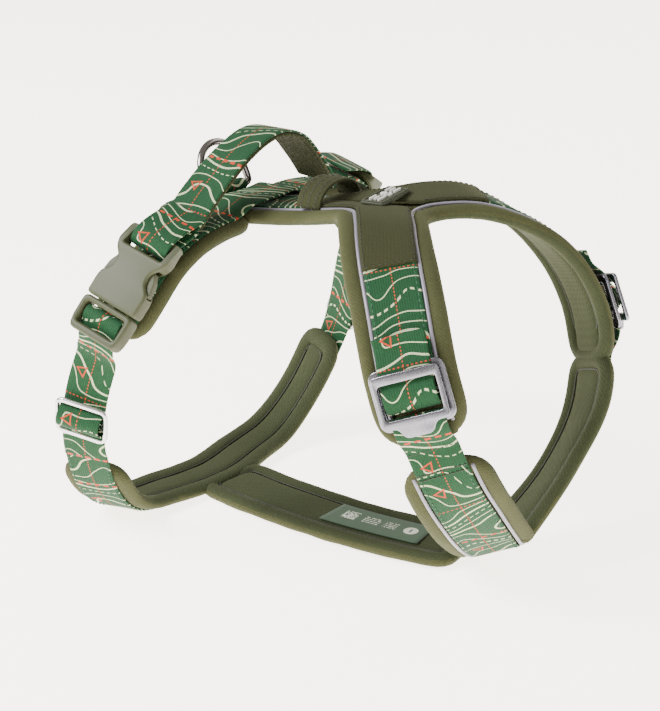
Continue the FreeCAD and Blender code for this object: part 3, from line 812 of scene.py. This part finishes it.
def patchSpots(end):                   # stitches just inside the patch's edge, on the right half
    inside = patchSizes["half"] - 1.2
    edgeRows = bodyRows(inside, rear=patchSizes["rear"] - 5, end=end - 1.2, step=2.5)
    rearEdge = [a for a, _ in edgeRows]
    frontEdge = [b for _, b in edgeRows if b[0].y < -2.0]
    endEdge = [(neckLine.spot(end - 1.2, w), neckLine.at(end)[3]) for w in spread(-inside, inside, 2.0)]
    spots = []
    for route in (rearEdge, frontEdge, endEdge):
        route = evenPath([(p + o * (patchSizes["lift"] + 1.1), o) for p, o in route], 3.0, False)
        spots += [((p + q) * 0.5, (q - p).normalized(), o) for (p, o), (q, _) in zip(route, route[1:])]
    return spots


pipeAcross = strapSizes["pipingAcross"]
rear = bodyRows(pipeAcross, rear=-5.0, end=yokeSizes["shoulderEnd"] - 8)
lifted = [(p + o * 3.4, o) for (p, o), _ in rear]
shape = tubeData(evenPath(lifted, 3.0, False), 1.0, 0.9, sides=10)
rearPiping = newPair("rear_piping", shape, reflectiveTape, "piping")
for piece, nodes in zip(rearPiping, (["spine_piping", "right_shoulder_piping"], ["left_shoulder_piping"])):
    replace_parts(piece, *nodes)
front = [(b + o * 3.4, o) for _, (b, o) in rear if b.y < -1.5]
front = [(flip(p), flip(o)) for p, o in reversed(front)] + front
front = smoothPath(evenPath(front, 3.0, False), 3, False)
shape = tubeData(front, 1.0, 0.9, sides=10)
newPiece("front_piping", shape, reflectiveTape, "piping")

chestRoutes = []
for side in (-1, 1):
    frames = strapFrames(neckLine, chestStart + 5, 2 * neckLine.length - chestStart - 5, 3.5, 3.0,
                         side * (pipeAcross + 0.6))
    chestRoutes.append(tubeData([(p, o) for p, a, o in frames], 1.0, 0.9, sides=10))
shape = join(chestRoutes)
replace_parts(newPiece("chest_piping_pair", shape, reflectiveTape, "piping"), "chest_piping")
print("patch and piping made")


# stitching
def stitches(spots, length, radius):   # small rounded stitches at (point, direction, out)
    points, faces, coords = [], [], []
    for point, way, out in spots:
        side = way.cross(out).normalized()
        first = len(points)
        for share, thin in ((-0.5, 0.35), (-0.25, 1.0), (0.25, 1.0), (0.5, 0.35)):
            for k in range(6):
                a = math.pi * k / 3
                p = point + way * (length * share) + side * (math.cos(a) * radius * thin) \
                    + out * (math.sin(a) * radius * thin * 0.8 - (radius * 0.5 if abs(share) > 0.4 else 0))
                points.append(p)
                coords.append((0.0, 0.0))
        for r in range(3):
            a, b = first + r * 6, first + r * 6 + 6
            faces += [[a + k, a + (k + 1) % 6, b + (k + 1) % 6, b + k] for k in range(6)]
        faces += [[first + k for k in range(5, -1, -1)], [first + 18 + k for k in range(6)]]
    return points, faces, coords


def rowSpots(line, start, end, across, lift, pitch=3.2):    # a row of stitches along a strap
    out = []
    for s in spread(start, end, pitch):
        point, along, side, up = line.at(s)
        height = lift(s) if callable(lift) else lift
        out.append((point + side * across + up * height, along, up))
    return out


def crossSpots(line, station, half, lift, pitch=2.8):    # a row of stitches across a strap
    point, along, side, up = line.at(station)
    return [(point + side * w + up * lift, side.normalized(), up) for w in spread(-half, half, pitch)]


def stitchPiece(name, spots, material, slot, length=2.1, radius=0.34, pair=True):
    make = newPair if pair else newPiece
    return make(name, stitches(spots, length, radius), material, slot)


# webbing that lies on the pads
webThick = strapSizes["webThick"]
webLift = strapSizes["webLift"]


def webbingPiece(name, line, start, end, width, lift, nodes, uvStart=0.0):
    shape = ribbonData(strapFrames(line, start, end, lift), width, webThick, uvStart)
    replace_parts(newPiece(name, shape, webbingCloth, "webbing"), *nodes)


leftSpots = [(flip(p), flip(d), flip(o)) for p, d, o in patchSpots(patchSizes["leftEnd"])]
stitchPiece("patch_stitching", patchSpots(patchSizes["end"]) + leftSpots, darkThread, "patch", 2.1, 0.3,
            pair=False)
webbingPiece("spine_webbing_printed", spineLine, -7, 97, strapSizes["webbing"], webLift, ["spine_webbing"])
shape = ribbonData(strapFrames(neckLine, 44, 122, webLift), strapSizes["shoulderWebbing"], webThick, 21.0)
stands(newPair("shoulder_webbing_printed", shape, webbingCloth, "webbing"), "shoulder_webbing")
webbingPiece("chest_webbing_printed", neckLine, 171, 2 * neckLine.length - 171,
             strapSizes["shoulderWebbing"], webLift, ["chest_webbing"], uvStart=90.0)
girthLow = girthPadStart - 2
webbingPiece("girth_webbing_printed", girthLine, girthLow, 2 * girthLine.length - girthLow,
             strapSizes["webbing"], webLift + 0.3, ["girth_webbing"], uvStart=212.0)
webbingPiece("sternum_webbing_printed", sternumLine, 4, sternumLine.length - 4, strapSizes["webbing"],
             lambda s: -3.8, ["sternum_webbing"])


def strapLift(s):
    # from the buckle the strap comes in to lie on the outside of the girth pad
    return -0.8 + 6.0 * ease((s - 150.0) / 55.0)


def saddleLift(s):
    # the saddle webbing comes down from over the spine to lie on the wing pads
    s = abs(s)
    return 3.6 - 6.2 * ease((s - 14.0) / 18.0)


frames = strapFrames(girthLine, 0, 126, saddleLift)
frames = [(flip(p), flip(a), flip(o)) for p, a, o in reversed(frames[1:])] + frames
shape = ribbonData(frames, strapSizes["webbing"], webThick, 12.0)
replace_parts(newPiece("saddle_webbing_printed", shape, webbingCloth, "webbing"), "saddle_webbing")
edgeIn = 1.7                           # edge stitches, in from the webbing's edge
spots = []
for across in (-1, 1):
    spots += rowSpots(spineLine, -4, 92, across * (strapSizes["webbing"] / 2 - edgeIn), webLift + 0.8)
    spots += rowSpots(neckLine, 178, 2 * neckLine.length - 178,
                      across * (strapSizes["shoulderWebbing"] / 2 - edgeIn), webLift + 0.8)
    spots += rowSpots(girthLine, 216, 2 * girthLine.length - 216,
                      across * (strapSizes["webbing"] / 2 - edgeIn), webLift + 1.1)
stitchPiece("webbing_edge_stitching", spots, greenThread, "webbing", 2.0, 0.28, pair=False)
spots = []
for across in (-1, 1):
    spots += rowSpots(neckLine, 54, 120, across * (strapSizes["shoulderWebbing"] / 2 - edgeIn),
                      webLift + 0.8)
    spots += rowSpots(girthLine, 30, 124, across * (strapSizes["webbing"] / 2 - edgeIn),
                      lambda s: saddleLift(s) + 0.8)
stitchPiece("strap_stitching", spots, greenThread, "webbing", 2.0, 0.3)
spots = []
for station in (119.0, 121.0, 165.5, 178.0, 181.0):
    spots += crossSpots(neckLine, station, 12.0, webLift + 1.0, 2.3)
stitchPiece("seam_stitching", spots, darkThread, "webbing", 2.0, 0.36)
print("webbing made")

# handle: printed webbing outside, ribbed lining with rows of stitches inside
shape = ribbonData(strapFrames(handleLine, 0, handleLine.length, 0.6), strapSizes["webbing"], webThick,
                   140.0)
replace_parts(newPiece("handle_webbing_printed", shape, webbingCloth, "webbing"), "handle_webbing")
shape = ribbonData(strapFrames(handleLine, 2, handleLine.length - 3, -1.5), strapSizes["webbing"] - 0.6,
                   2.6)
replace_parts(newPiece("handle_lining_ribbed", shape, liningCloth, "lining"), "handle_lining")
spots = []
for w in (-10.5, -7.5, -4.5, -1.5, 1.5, 4.5, 7.5, 10.5):
    spots += [(p, d, -o) for p, d, o in rowSpots(handleLine, 6, handleLine.length - 6, w, -2.9, 3.0)]
stitchPiece("handle_stitching", spots, darkThread, "lining", 2.2, 0.3, pair=False)

# keeper loop: olive tape with three zigzag rows
keeperFrames = strapFrames(keeperLine, 0, keeperLine.length, 0.0, 1.8)
shape = ribbonData(keeperFrames, 15.5, 1.9)
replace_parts(newPiece("keeper_loop_tape", shape, patchCloth, "patch"), "keeper_loop")
spots = []
for w in (-4.6, 0.0, 4.6):
    for i, s in enumerate(spread(1, keeperLine.length - 1, 2.4)):
        point, along, across, out = keeperLine.at(s)
        way = (along + across * (0.8 if i % 2 else -0.8)).normalized()
        spots.append((point + across * w + out * 1.0, way, out))
stitchPiece("keeper_stitching", spots, darkThread, "patch", 2.6, 0.36, pair=False)

# leash ring and its webbing keeper
ringSizes = {"radius": 17.0, "wire": 2.1, "side": 10.0, "tilt": 65.0,
             "pivot": (-86.0 + bodyShift, 0.0, 181.9)}


def ringPath():
    r, side = ringSizes["radius"], ringSizes["side"]
    flat = [(-r + 3, 0.0), (r - 3, 0.0), (r - 0.8, 0.8), (r, 3.0), (r, side)]
    flat += [(r * math.cos(a), side + r * math.sin(a)) for a in spread(0.2, math.pi - 0.2, 0.2)]
    flat += [(-r, side), (-r, 3.0), (-r + 0.8, 0.8)]
    tilt = math.radians(ringSizes["tilt"])
    up = Vector((-math.cos(tilt), 0, math.sin(tilt)))
    out = Vector((math.sin(tilt), 0, math.cos(tilt)))
    return [(Vector(ringSizes["pivot"]) + Vector((0, y, 0)) + up * h, out) for y, h in flat]


shape = tubeData(evenPath(ringPath(), 1.6), ringSizes["wire"], ringSizes["wire"], True, 16)
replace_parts(newPiece("leash_ring_wire", shape, polishedSteel, "steel", "leash_ring"), "d_ring")


def localFrames(rows, origin, along, across, out):
    # ribbon frames from given (back, out) rows in a fitting's own axes, smoothed
    path = [(origin - along * y + out * z, out) for y, z in rows]
    path = smoothPath(evenPath(path, 1.4, False), 3, False)
    frames = []
    for i, (point, _) in enumerate(path):
        ahead, behind = path[min(i + 1, len(path) - 1)][0], path[max(i - 1, 0)][0]
        forward = (ahead - behind).normalized()
        frames.append((point, across, forward.cross(across).normalized()))
    return frames


pivot = Vector(ringSizes["pivot"])
keeperFold = [(-12, -4.4), (-5, -3.9), (-0.6, -3.3), (2.7, -1.6), (3.3, 0.6), (1.6, 2.9), (-1.4, 3.2),
              (-6, 1.2), (-12, -1.4), (-21, -3.2), (-24, -3.6)]
shape = ribbonData(localFrames([(-y, z) for y, z in keeperFold], pivot, Vector((1, 0, 0)),
                               Vector((0, 1, 0)), Vector((0, 0, 1))),
                   strapSizes["webbing"] - 1, 1.3, 30.0)
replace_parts(newPiece("ring_keeper_webbing", shape, webbingCloth, "webbing"), "d_ring_keeper")
print("handle, keeper and ring made")


# flat fittings: outlines with holes, rounded on every edge
def roundedRect(x0, x1, y0, y1, r, steps=6):
    corners = [(x1 - r, y1 - r, 0), (x0 + r, y1 - r, 1), (x0 + r, y0 + r, 2), (x1 - r, y0 + r, 3)]
    out = []
    for cx, cy, q in corners:
        for k in range(steps + 1):
            a = math.pi / 2 * (q + k / steps)
            out.append((cx + r * math.cos(a), cy + r * math.sin(a)))
    return out


def softCorners(outline, radius, steps=5):    # rounds the corners of a given outline
    out = []
    count = len(outline)
    for i in range(count):
        a, b, c = (Vector(outline[(i + j) % count]) for j in (-1, 0, 1))
        r = min(radius, (a - b).length * 0.45, (c - b).length * 0.45)
        p, q = b + (a - b).normalized() * r, b + (c - b).normalized() * r
        for k in range(steps + 1):
            t = k / steps
            out.append(p * (1 - t) ** 2 + b * 2 * t * (1 - t) + q * t ** 2)
    return out


def castPlate(name, outlines, z0, z1, edge):
    # a solid plate from an outline and its holes, every edge rounded; a mesh in fitting axes
    curve = bpy.data.curves.new(name, "CURVE")
    curve.dimensions = "2D"
    curve.fill_mode = "BOTH"
    curve.extrude = (z1 - z0) / 2 - edge
    curve.bevel_depth = edge
    curve.bevel_resolution = 3
    curve.offset = -edge
    for outline in outlines:
        spline = curve.splines.new("POLY")
        spline.points.add(len(outline) - 1)
        for point, (x, y) in zip(spline.points, outline):
            point.co = (x, y, 0, 1)
        spline.use_cyclic_u = True
    holder = bpy.data.objects.new(name, curve)
    bpy.context.scene.collection.objects.link(holder)
    mesh = bpy.data.meshes.new_from_object(holder)
    bpy.data.objects.remove(holder)
    mesh.transform(Matrix.Translation((0, 0, (z0 + z1) / 2)))
    work = bmesh.new()
    work.from_mesh(mesh)
    bmesh.ops.remove_doubles(work, verts=work.verts, dist=0.01)
    work.to_mesh(mesh)
    work.free()
    return mesh


def carved(mesh, cutters, operation="DIFFERENCE"):
    # cuts boxes or meshes out of a mesh, or adds them to it, exactly
    solid = bpy.data.objects.new("solid", mesh)
    bpy.context.scene.collection.objects.link(solid)
    tools = []
    for cutter in cutters:
        tool = bpy.data.objects.new("tool", cutter)
        bpy.context.scene.collection.objects.link(tool)
        cut = solid.modifiers.new("cut", "BOOLEAN")
        cut.operation = operation
        cut.solver = "EXACT"
        cut.object = tool
        tools.append(tool)
    result = bpy.data.meshes.new_from_object(solid.evaluated_get(bpy.context.evaluated_depsgraph_get()))
    for item in [solid] + tools:
        bpy.data.objects.remove(item)
    return result


def boxMesh(x0, x1, y0, y1, z0, z1):
    mesh = bpy.data.meshes.new("box")
    work = bmesh.new()
    bmesh.ops.create_cube(work, size=1.0)
    for v in work.verts:
        v.co = ((x0 if v.co.x < 0 else x1), (y0 if v.co.y < 0 else y1), (z0 if v.co.z < 0 else z1))
    work.to_mesh(mesh)
    work.free()
    return mesh


def fittingPlace(line, station, lift):
    # matrix from fitting axes (x across, y back, z out) to the harness, in millimetres
    point, along, across, out = line.at(station)
    origin = point + out * lift
    return Matrix((across, -along, out)).transposed().to_4x4(), origin


def placeFitting(name, mesh, line, station, lift, material, slot, body, bevel=0.0):
    # puts a fitting on the right side and its mirror image on the left
    turn, origin = fittingPlace(line, station, lift)
    both = []
    for side in ("right_", "left_"):
        data = mesh.copy()
        data.transform(turn)
        data.transform(Matrix.Translation(origin))
        if side == "left_":
            data.transform(Matrix.Diagonal((1, -1, 1, 1)))
            data.flip_normals()
        data.transform(Matrix.Scale(mm, 4))
        piece = finishPiece(side + name, data, material, body if body == "harness" else side + body)
        if bevel:
            soft = piece.modifiers.new("edge", "BEVEL")
            soft.width = bevel * mm
            soft.segments = 2
            soft.limit_method = "ANGLE"
            soft.angle_limit = math.radians(35)
        data.set_sharp_from_angle(angle=math.radians(40))
        both.append(piece)
    return both


# side-release buckle, in its own axes: y up towards the spine
buckleSizes = {"half": 17.0, "height": 9.0, "mouth": -12.0, "top": 32.0, "station": 107.0, "lift": 1.4,
               "wall": 1.9, "window": 13.4, "edge": 0.35}
half, tall, mouth, top, window = (buckleSizes[k] for k in ("half", "height", "mouth", "top", "window"))


def femaleShell():
    right = [(half, mouth), (half, -1.6), (half - 0.6, 1.6), (half - 4.6, 5.6), (half - 5.6, 9.0),
             (half - 5.0, 12.6), (half - 1.2, 16.6), (half + 0.2, 20.0), (half, top)]
    outline = softCorners(right + [(-x, y) for x, y in reversed(right)], 2.6)
    hole = roundedRect(-window, window, top - 11.8, top - 4.4, 1.4)[::-1]
    body = castPlate("female", [outline, hole], 0, tall, 1.5)
    wall = buckleSizes["wall"]
    barLow, barHigh = 0.9, 4.3
    cuts = [boxMesh(-13.8, 13.8, mouth - 2, 15.5, wall, tall - wall),
            boxMesh(-half - 2, half + 2, 0.0, 15.5, wall, tall - wall),
            boxMesh(-window, window, top - 6, top + 2, barHigh, tall + 1),
            boxMesh(-window, window, top - 6, top + 2, -1, barLow)]
    slope = boxMesh(-half - 3, half + 3, 0, 24, 0, 12)
    slope.transform(Matrix.Translation((0, top - 13.5, tall + 0.4))
                    @ Matrix.Rotation(math.radians(-21), 4, "X"))
    return carved(body, cuts + [slope])


def maleShell():
    high, low = mouth - 0.4, mouth - 20.0
    outline = softCorners([(half, high), (half, low + 6), (half - 1.6, low), (-half + 1.6, low),
                           (-half, low + 6), (-half, high)], 4.0)
    hole = roundedRect(-window, window, low + 4.4, high - 3.4, 1.6)[::-1]
    body = castPlate("male", [outline, hole], 0, tall, 1.6)
    body = carved(body, [boxMesh(-window, window, low - 2, low + 5.2, -1, tall / 2 - 0.3)])
    bar = boxMesh(-14.5, 14.5, mouth - 8.7, mouth - 6.1, 3.4, 6.0)
    tongue = boxMesh(-2.4, 2.4, high - 2, 8.0, 2.4, tall - 2.4)
    return carved(body, [bar, tongue], "UNION")


def prongShape(side):
    base = mouth - 0.05
    outline = [(8.6, base), (12.6, base), (13.2, -1.0), (13.2, 0.4), (16.3, 0.5), (16.8, 3.2), (15.6, 8.6),
               (12.9, 13.8), (11.2, 13.8), (10.2, 5.0), (9.4, -3.0)]
    outline = [(side * x, y) for x, y in outline]
    if side < 0:
        outline = outline[::-1]
    plate = castPlate("prong", [softCorners(outline, 0.9, 3)], 2.3, tall - 2.3, 0.5)
    ribs = [boxMesh(*(sorted((side * 15.9, side * 18.0))), y, y + 0.55, 2.0, 7.0)
            for y in (2.6, 4.1, 5.6, 7.1)]
    return carved(plate, ribs)


fitting = (girthLine, buckleSizes["station"], buckleSizes["lift"], mouldedAcetal, "buckle")
stands(placeFitting("female_shell", femaleShell(), *fitting, "harness", bevel=buckleSizes["edge"]),
       "female_buckle")
stands(placeFitting("male_shell", maleShell(), *fitting, "male", bevel=buckleSizes["edge"]), "male_buckle")
stands(placeFitting("front_prong_moulded", prongShape(1), *fitting, "front_prong"), "front_prong")
stands(placeFitting("rear_prong_moulded", prongShape(-1), *fitting, "rear_prong"), "rear_prong")
print("side-release buckles made")


def fittingRibbon(name, rows, line, station, lift, width, body, uvStart, thick=1.5, tail=None):
    # webbing through a fitting, from given (back, out) rows, going on along the strap
    point, along, across, out = line.at(station)
    frames = localFrames(rows, point + out * lift, along, across, out)
    if tail:
        frames = frames + tail
        path = [(p, o) for p, a, o in frames]
        sides = [a for p, a, o in frames]
        frames = [(p, a, o) for (p, o), a in zip(smoothPath(path, 2, False), sides)]
    return newPair(name, ribbonData(frames, width, thick, uvStart), webbingCloth, "webbing", body)


web = strapSizes["webbing"]
loopRows = [(52, -10.0), (46, -4.6), (40, 0.6), (35, 4.2), (30.5, 6.3), (26.5, 6.9), (23.2, 5.8),
            (21.8, 3.4), (22.8, 1.0), (26.5, -0.5), (31.5, -1.8), (37, -5.2), (44, -9.6)]
stands(fittingRibbon("female_loop_webbing", loopRows, girthLine, buckleSizes["station"],
                     buckleSizes["lift"], web, "harness", 8.0), "female_loop")
rollRows = [(-30, -0.6), (-25, 0.4), (-20.5, 1.2), (-17.0, 2.3), (-16.1, 4.9), (-17.4, 7.4), (-20.0, 8.0),
            (-23.2, 6.6), (-26.4, 4.2), (-30.5, 2.3), (-34, 0.6)]


tail = strapFrames(girthLine, 147.5, girthPadStart + 2, strapLift, 2.0)
girthStraps = fittingRibbon("girth_strap_webbing", rollRows, girthLine, buckleSizes["station"],
                            buckleSizes["lift"], web, None, 52.0, tail=tail)
for piece, side in zip(girthStraps, ("right_", "left_")):
    turn = (lambda v: v) if side == "right_" else flip
    turn(girthLine.spot(175)) * mm
    turn(girthLine.spot(146)) * mm
    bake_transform(piece)
    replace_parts(piece, side + "male_loop", side + "girth_strap")

# girth slider, a plated frame with a middle bar, and the sewn webbing end over the bar
sliderSizes = {"width": 31.0, "height": 24.0, "thick": 2.6, "station": 186.0}
w, h = sliderSizes["width"] / 2, sliderSizes["height"] / 2
slider = castPlate("slider", [roundedRect(-w, w, -h, h, 5.5),
                              roundedRect(-12.9, 12.9, 1.6, h - 3.2, 1.2)[::-1],
                              roundedRect(-12.9, 12.9, -h + 3.2, -1.6, 1.2)[::-1]], 0, sliderSizes["thick"],
                   1.15)
sliderAt = sliderSizes["station"]
sliderLift = strapLift(sliderAt) + webThick / 2 + 0.9
stands(placeFitting("slider_frame", slider, girthLine, sliderAt, sliderLift, platedZinc, "aluminium",
                    "slider"), "girth_slider")
humpRows = [(-12.5, -0.6), (-8.6, 0.4), (-6.2, 2.0), (-4.6, 5.0), (-1.6, 7.0), (1.6, 7.0), (4.6, 5.2),
            (6.2, 2.2), (7.6, 0.4)]
stands(fittingRibbon("slider_end_webbing", humpRows, girthLine, sliderAt, sliderLift, web, "slider", 20.0,
                     1.3), "slider_webbing")
print("girth straps and sliders made")

# shoulder adjuster: frame behind, plate with a finger tab in front
adjusterSizes = {"station": 137.0, "rearLift": 6.55, "frontRise": 6.4, "plate": 2.2, "edge": 0.75}
plate, edge = adjusterSizes["plate"], adjusterSizes["edge"]
frameOutline = roundedRect(-19.25, 19.25, -15.5, 15.5, 5.0)
frameWindow = roundedRect(-14.6, 14.6, -9.5, 10.5, 1.6)
rearFrame = castPlate("adjuster", [frameOutline, frameWindow[::-1]], 0, plate, edge)
rearFrame = carved(rearFrame, [boxMesh(13.0, 16.6, -1.6, 3.2, -1, 4)])
bar = boxMesh(-15.4, 15.4, -0.7, 1.7, 0.7, 3.1)
rearFrame = carved(rearFrame, [bar], "UNION")
plateOutline = softCorners([(17.0, 13.5), (17.0, -13.5), (9.8, -13.5), (6.9, -19.0), (-6.9, -19.0),
                            (-9.8, -13.5), (-17.0, -13.5), (-17.0, 13.5)], 2.6)
frontPlate = castPlate("plate", [plateOutline, roundedRect(-14.6, 14.6, -9.0, 8.4, 1.6)], 0, plate, edge)
station, rearLift = adjusterSizes["station"], adjusterSizes["rearLift"]
stands(placeFitting("adjuster_rear_frame", rearFrame, neckLine, station, rearLift, aluminiumPaintedReflections,
                    "aluminium", "harness"), "adjuster_frame")
stands(placeFitting("adjuster_front_plate", frontPlate, neckLine, station,
                    rearLift + adjusterSizes["frontRise"], aluminiumPaintedReflections, "aluminium",
                    "adjuster_plate"), "adjuster_plate")
shoulderWeb = strapSizes["shoulderWebbing"]
upperRows = [(30, -2.9), (22, -2.0), (17.5, 1.6), (14.2, 4.0), (9.6, 4.2), (6.6, 6.3), (3.2, 8.6),
             (-1.2, 8.6), (-4.8, 6.6), (-6.9, 3.4),
             (-6.4, 0.2), (-3.4, -1.3), (1.0, -1.5)]
stands(fittingRibbon("adjuster_roll_webbing", upperRows, neckLine, station, rearLift, shoulderWeb,
                     "harness", 36.0), "adjuster_webbing")
lowerRows = [(-8.8, 4.0), (-13.0, 3.9), (-17.5, 2.6), (-23.0, -1.4)]
tail = strapFrames(neckLine, 163, 178, webLift + 0.2, 2.0)
stands(fittingRibbon("lower_neck_webbing", lowerRows, neckLine, station, rearLift, shoulderWeb, "harness",
                     4.0, tail=tail), "lower_webbing")
print("shoulder adjusters made")

# badge and care label


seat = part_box("badge")
badgeTurn = Matrix.Translation(((seat[0] + seat[1]) / 2 / mm).xy.to_3d()
                               + Vector((0, 0, seat[0].z / mm))) @ Matrix.Rotation(math.radians(8), 4, "Z")


def badgePart(name, mesh, material):
    mesh.transform(badgeTurn)
    mesh.transform(Matrix.Scale(mm, 4))
    piece = finishPiece(name, mesh, material, "harness")
    mesh.set_sharp_from_angle(angle=math.radians(40))
    return piece


base = castPlate("badge", [roundedRect(-7.0, 7.0, -15.5, 15.5, 1.6)], 0, 1.7, 0.5)
rim = castPlate("badge", [roundedRect(-6.3, 6.3, -14.8, 14.8, 1.2),
                          roundedRect(-5.4, 5.4, -13.9, 13.9, 0.9)[::-1]], 1.5, 2.3, 0.25)
badge = badgePart("badge_base", carved(base, [rim], "UNION"), softRubber)
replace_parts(badge, "badge")


def pawShapes():                       # a plain paw print and two bars each side, raised in white
    shapes = [[(1.9 * math.cos(a) - 1.0, 2.3 * math.sin(a)) for a in spread(0, 6.0, 0.4)]]
    for x, y, r in ((1.3, -2.6, 0.85), (2.6, -0.95, 0.9), (2.6, 0.95, 0.9), (1.3, 2.6, 0.85)):
        shapes.append([(x + r * math.cos(a), y + r * 0.8 * math.sin(a)) for a in spread(0, 5.8, 0.6)])
    for side in (-1, 1):
        for x, long in ((2.2, 7.0), (-0.4, 5.2), (-2.8, 7.0)):
            y = side * 8.6
            shapes.append(roundedRect(x - 0.65, x + 0.65, y - long / 2, y + long / 2, 0.6, 3))
    return shapes


relief = [castPlate("relief", [shape], 1.5, 2.9, 0.2) for shape in pawShapes()]
joined = carved(relief[0], relief[1:], "UNION")
badgePart("badge_relief", joined, whiteRubber)

labelSizes = {"start": 88.0, "end": 150.0, "lift": 3.55, "width": 23.0, "thick": 0.5}
frames = strapFrames(sternumLine, labelSizes["start"], labelSizes["end"], labelSizes["lift"], 3.0)
shape = ribbonData(frames, labelSizes["width"], labelSizes["thick"], 52.0)
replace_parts(newPiece("care_label_tape", shape, careLabel, "label"), "care_label")
print("badge and label made")

# camera, floor and light
cameraSizes = {"azimuth": 38.29, "elevation": 20.27, "distance": 1122.8, "lens": 105.0466,
               "target": (-7.39 + bodyShift, -13.31, 103.39), "roll": -1.27, "sensor": 36.0}
azimuth, elevation = (math.radians(cameraSizes[k]) for k in ("azimuth", "elevation"))
back = Vector((math.sin(azimuth) * math.cos(elevation), -math.cos(azimuth) * math.cos(elevation),
               math.sin(elevation)))
side = Vector((math.cos(azimuth), math.sin(azimuth), 0))
up = back.cross(side)
roll = math.radians(cameraSizes["roll"])
side, up = side * math.cos(roll) + up * math.sin(roll), up * math.cos(roll) - side * math.sin(roll)
camera = bpy.data.objects.new("camera", bpy.data.cameras.new("camera"))
camera.data.sensor_width = cameraSizes["sensor"]
camera.data.lens = cameraSizes["lens"]
camera.matrix_world = Matrix.Translation((Vector(cameraSizes["target"])
                                          + back * cameraSizes["distance"]) * mm) \
    @ Matrix((side, up, back)).transposed().to_4x4()
camera.data.clip_start, camera.data.clip_end = 0.05, 50.0
bpy.context.scene.collection.objects.link(camera)
bpy.context.scene.camera = camera

studioSizes = {"floor": 6.0, "key": 78.0, "fill": 7.0, "world": 0.75, "glow": 4.6}
floorMesh = bpy.data.meshes.new("floor")
reach = studioSizes["floor"]
floorMesh.from_pydata([(-reach, -reach, 0), (reach, -reach, 0), (reach, reach, 0), (-reach, reach, 0)], [],
                      [(0, 1, 2, 3)])
floor = bpy.data.objects.new("floor", floorMesh)
bpy.context.scene.collection.objects.link(floor)
# matt painted board: a plain warm white
floorMesh.materials.append(speckled("painted_board", "#F4F0E9", "#F1EDE5", 60.0, 0.0, {
    "Roughness": 0.9, "Specular IOR Level": 0.1, "Emission Color": hexColour("#F6F0E4"),
    "Emission Strength": studioSizes["glow"]}))

world = bpy.data.worlds.new("studio")
bpy.context.scene.world = world
world.use_nodes = True
sky = world.node_tree.nodes["Background"]
sky.inputs[0].default_value = hexColour("#F7F1E6")
sky.inputs[1].default_value = studioSizes["world"]


def softbox(name, place, aim, size, watts, colour="#FFFFFF"):
    lamp = bpy.data.lights.new(name, "AREA")
    lamp.shape = "RECTANGLE"
    lamp.size, lamp.size_y = size
    lamp.energy = watts
    lamp.color = hexColour(colour)[:3]
    holder = bpy.data.objects.new(name, lamp)
    holder.location = place
    holder.rotation_mode = "QUATERNION"
    holder.rotation_quaternion = (Vector(aim) - Vector(place)).to_track_quat("-Z", "Y")
    bpy.context.scene.collection.objects.link(holder)


softbox("key_light", (-0.9, -1.1, 1.5), (0, 0, 0.08), (0.9, 0.9), studioSizes["key"])
softbox("fill_light", (1.5, -0.8, 0.9), (0, 0, 0.1), (1.2, 1.0), studioSizes["fill"])
softbox("rim_light", (0.2, 1.6, 1.4), (0, 0, 0.1), (1.4, 0.6), studioSizes["fill"])
print("camera and light set")
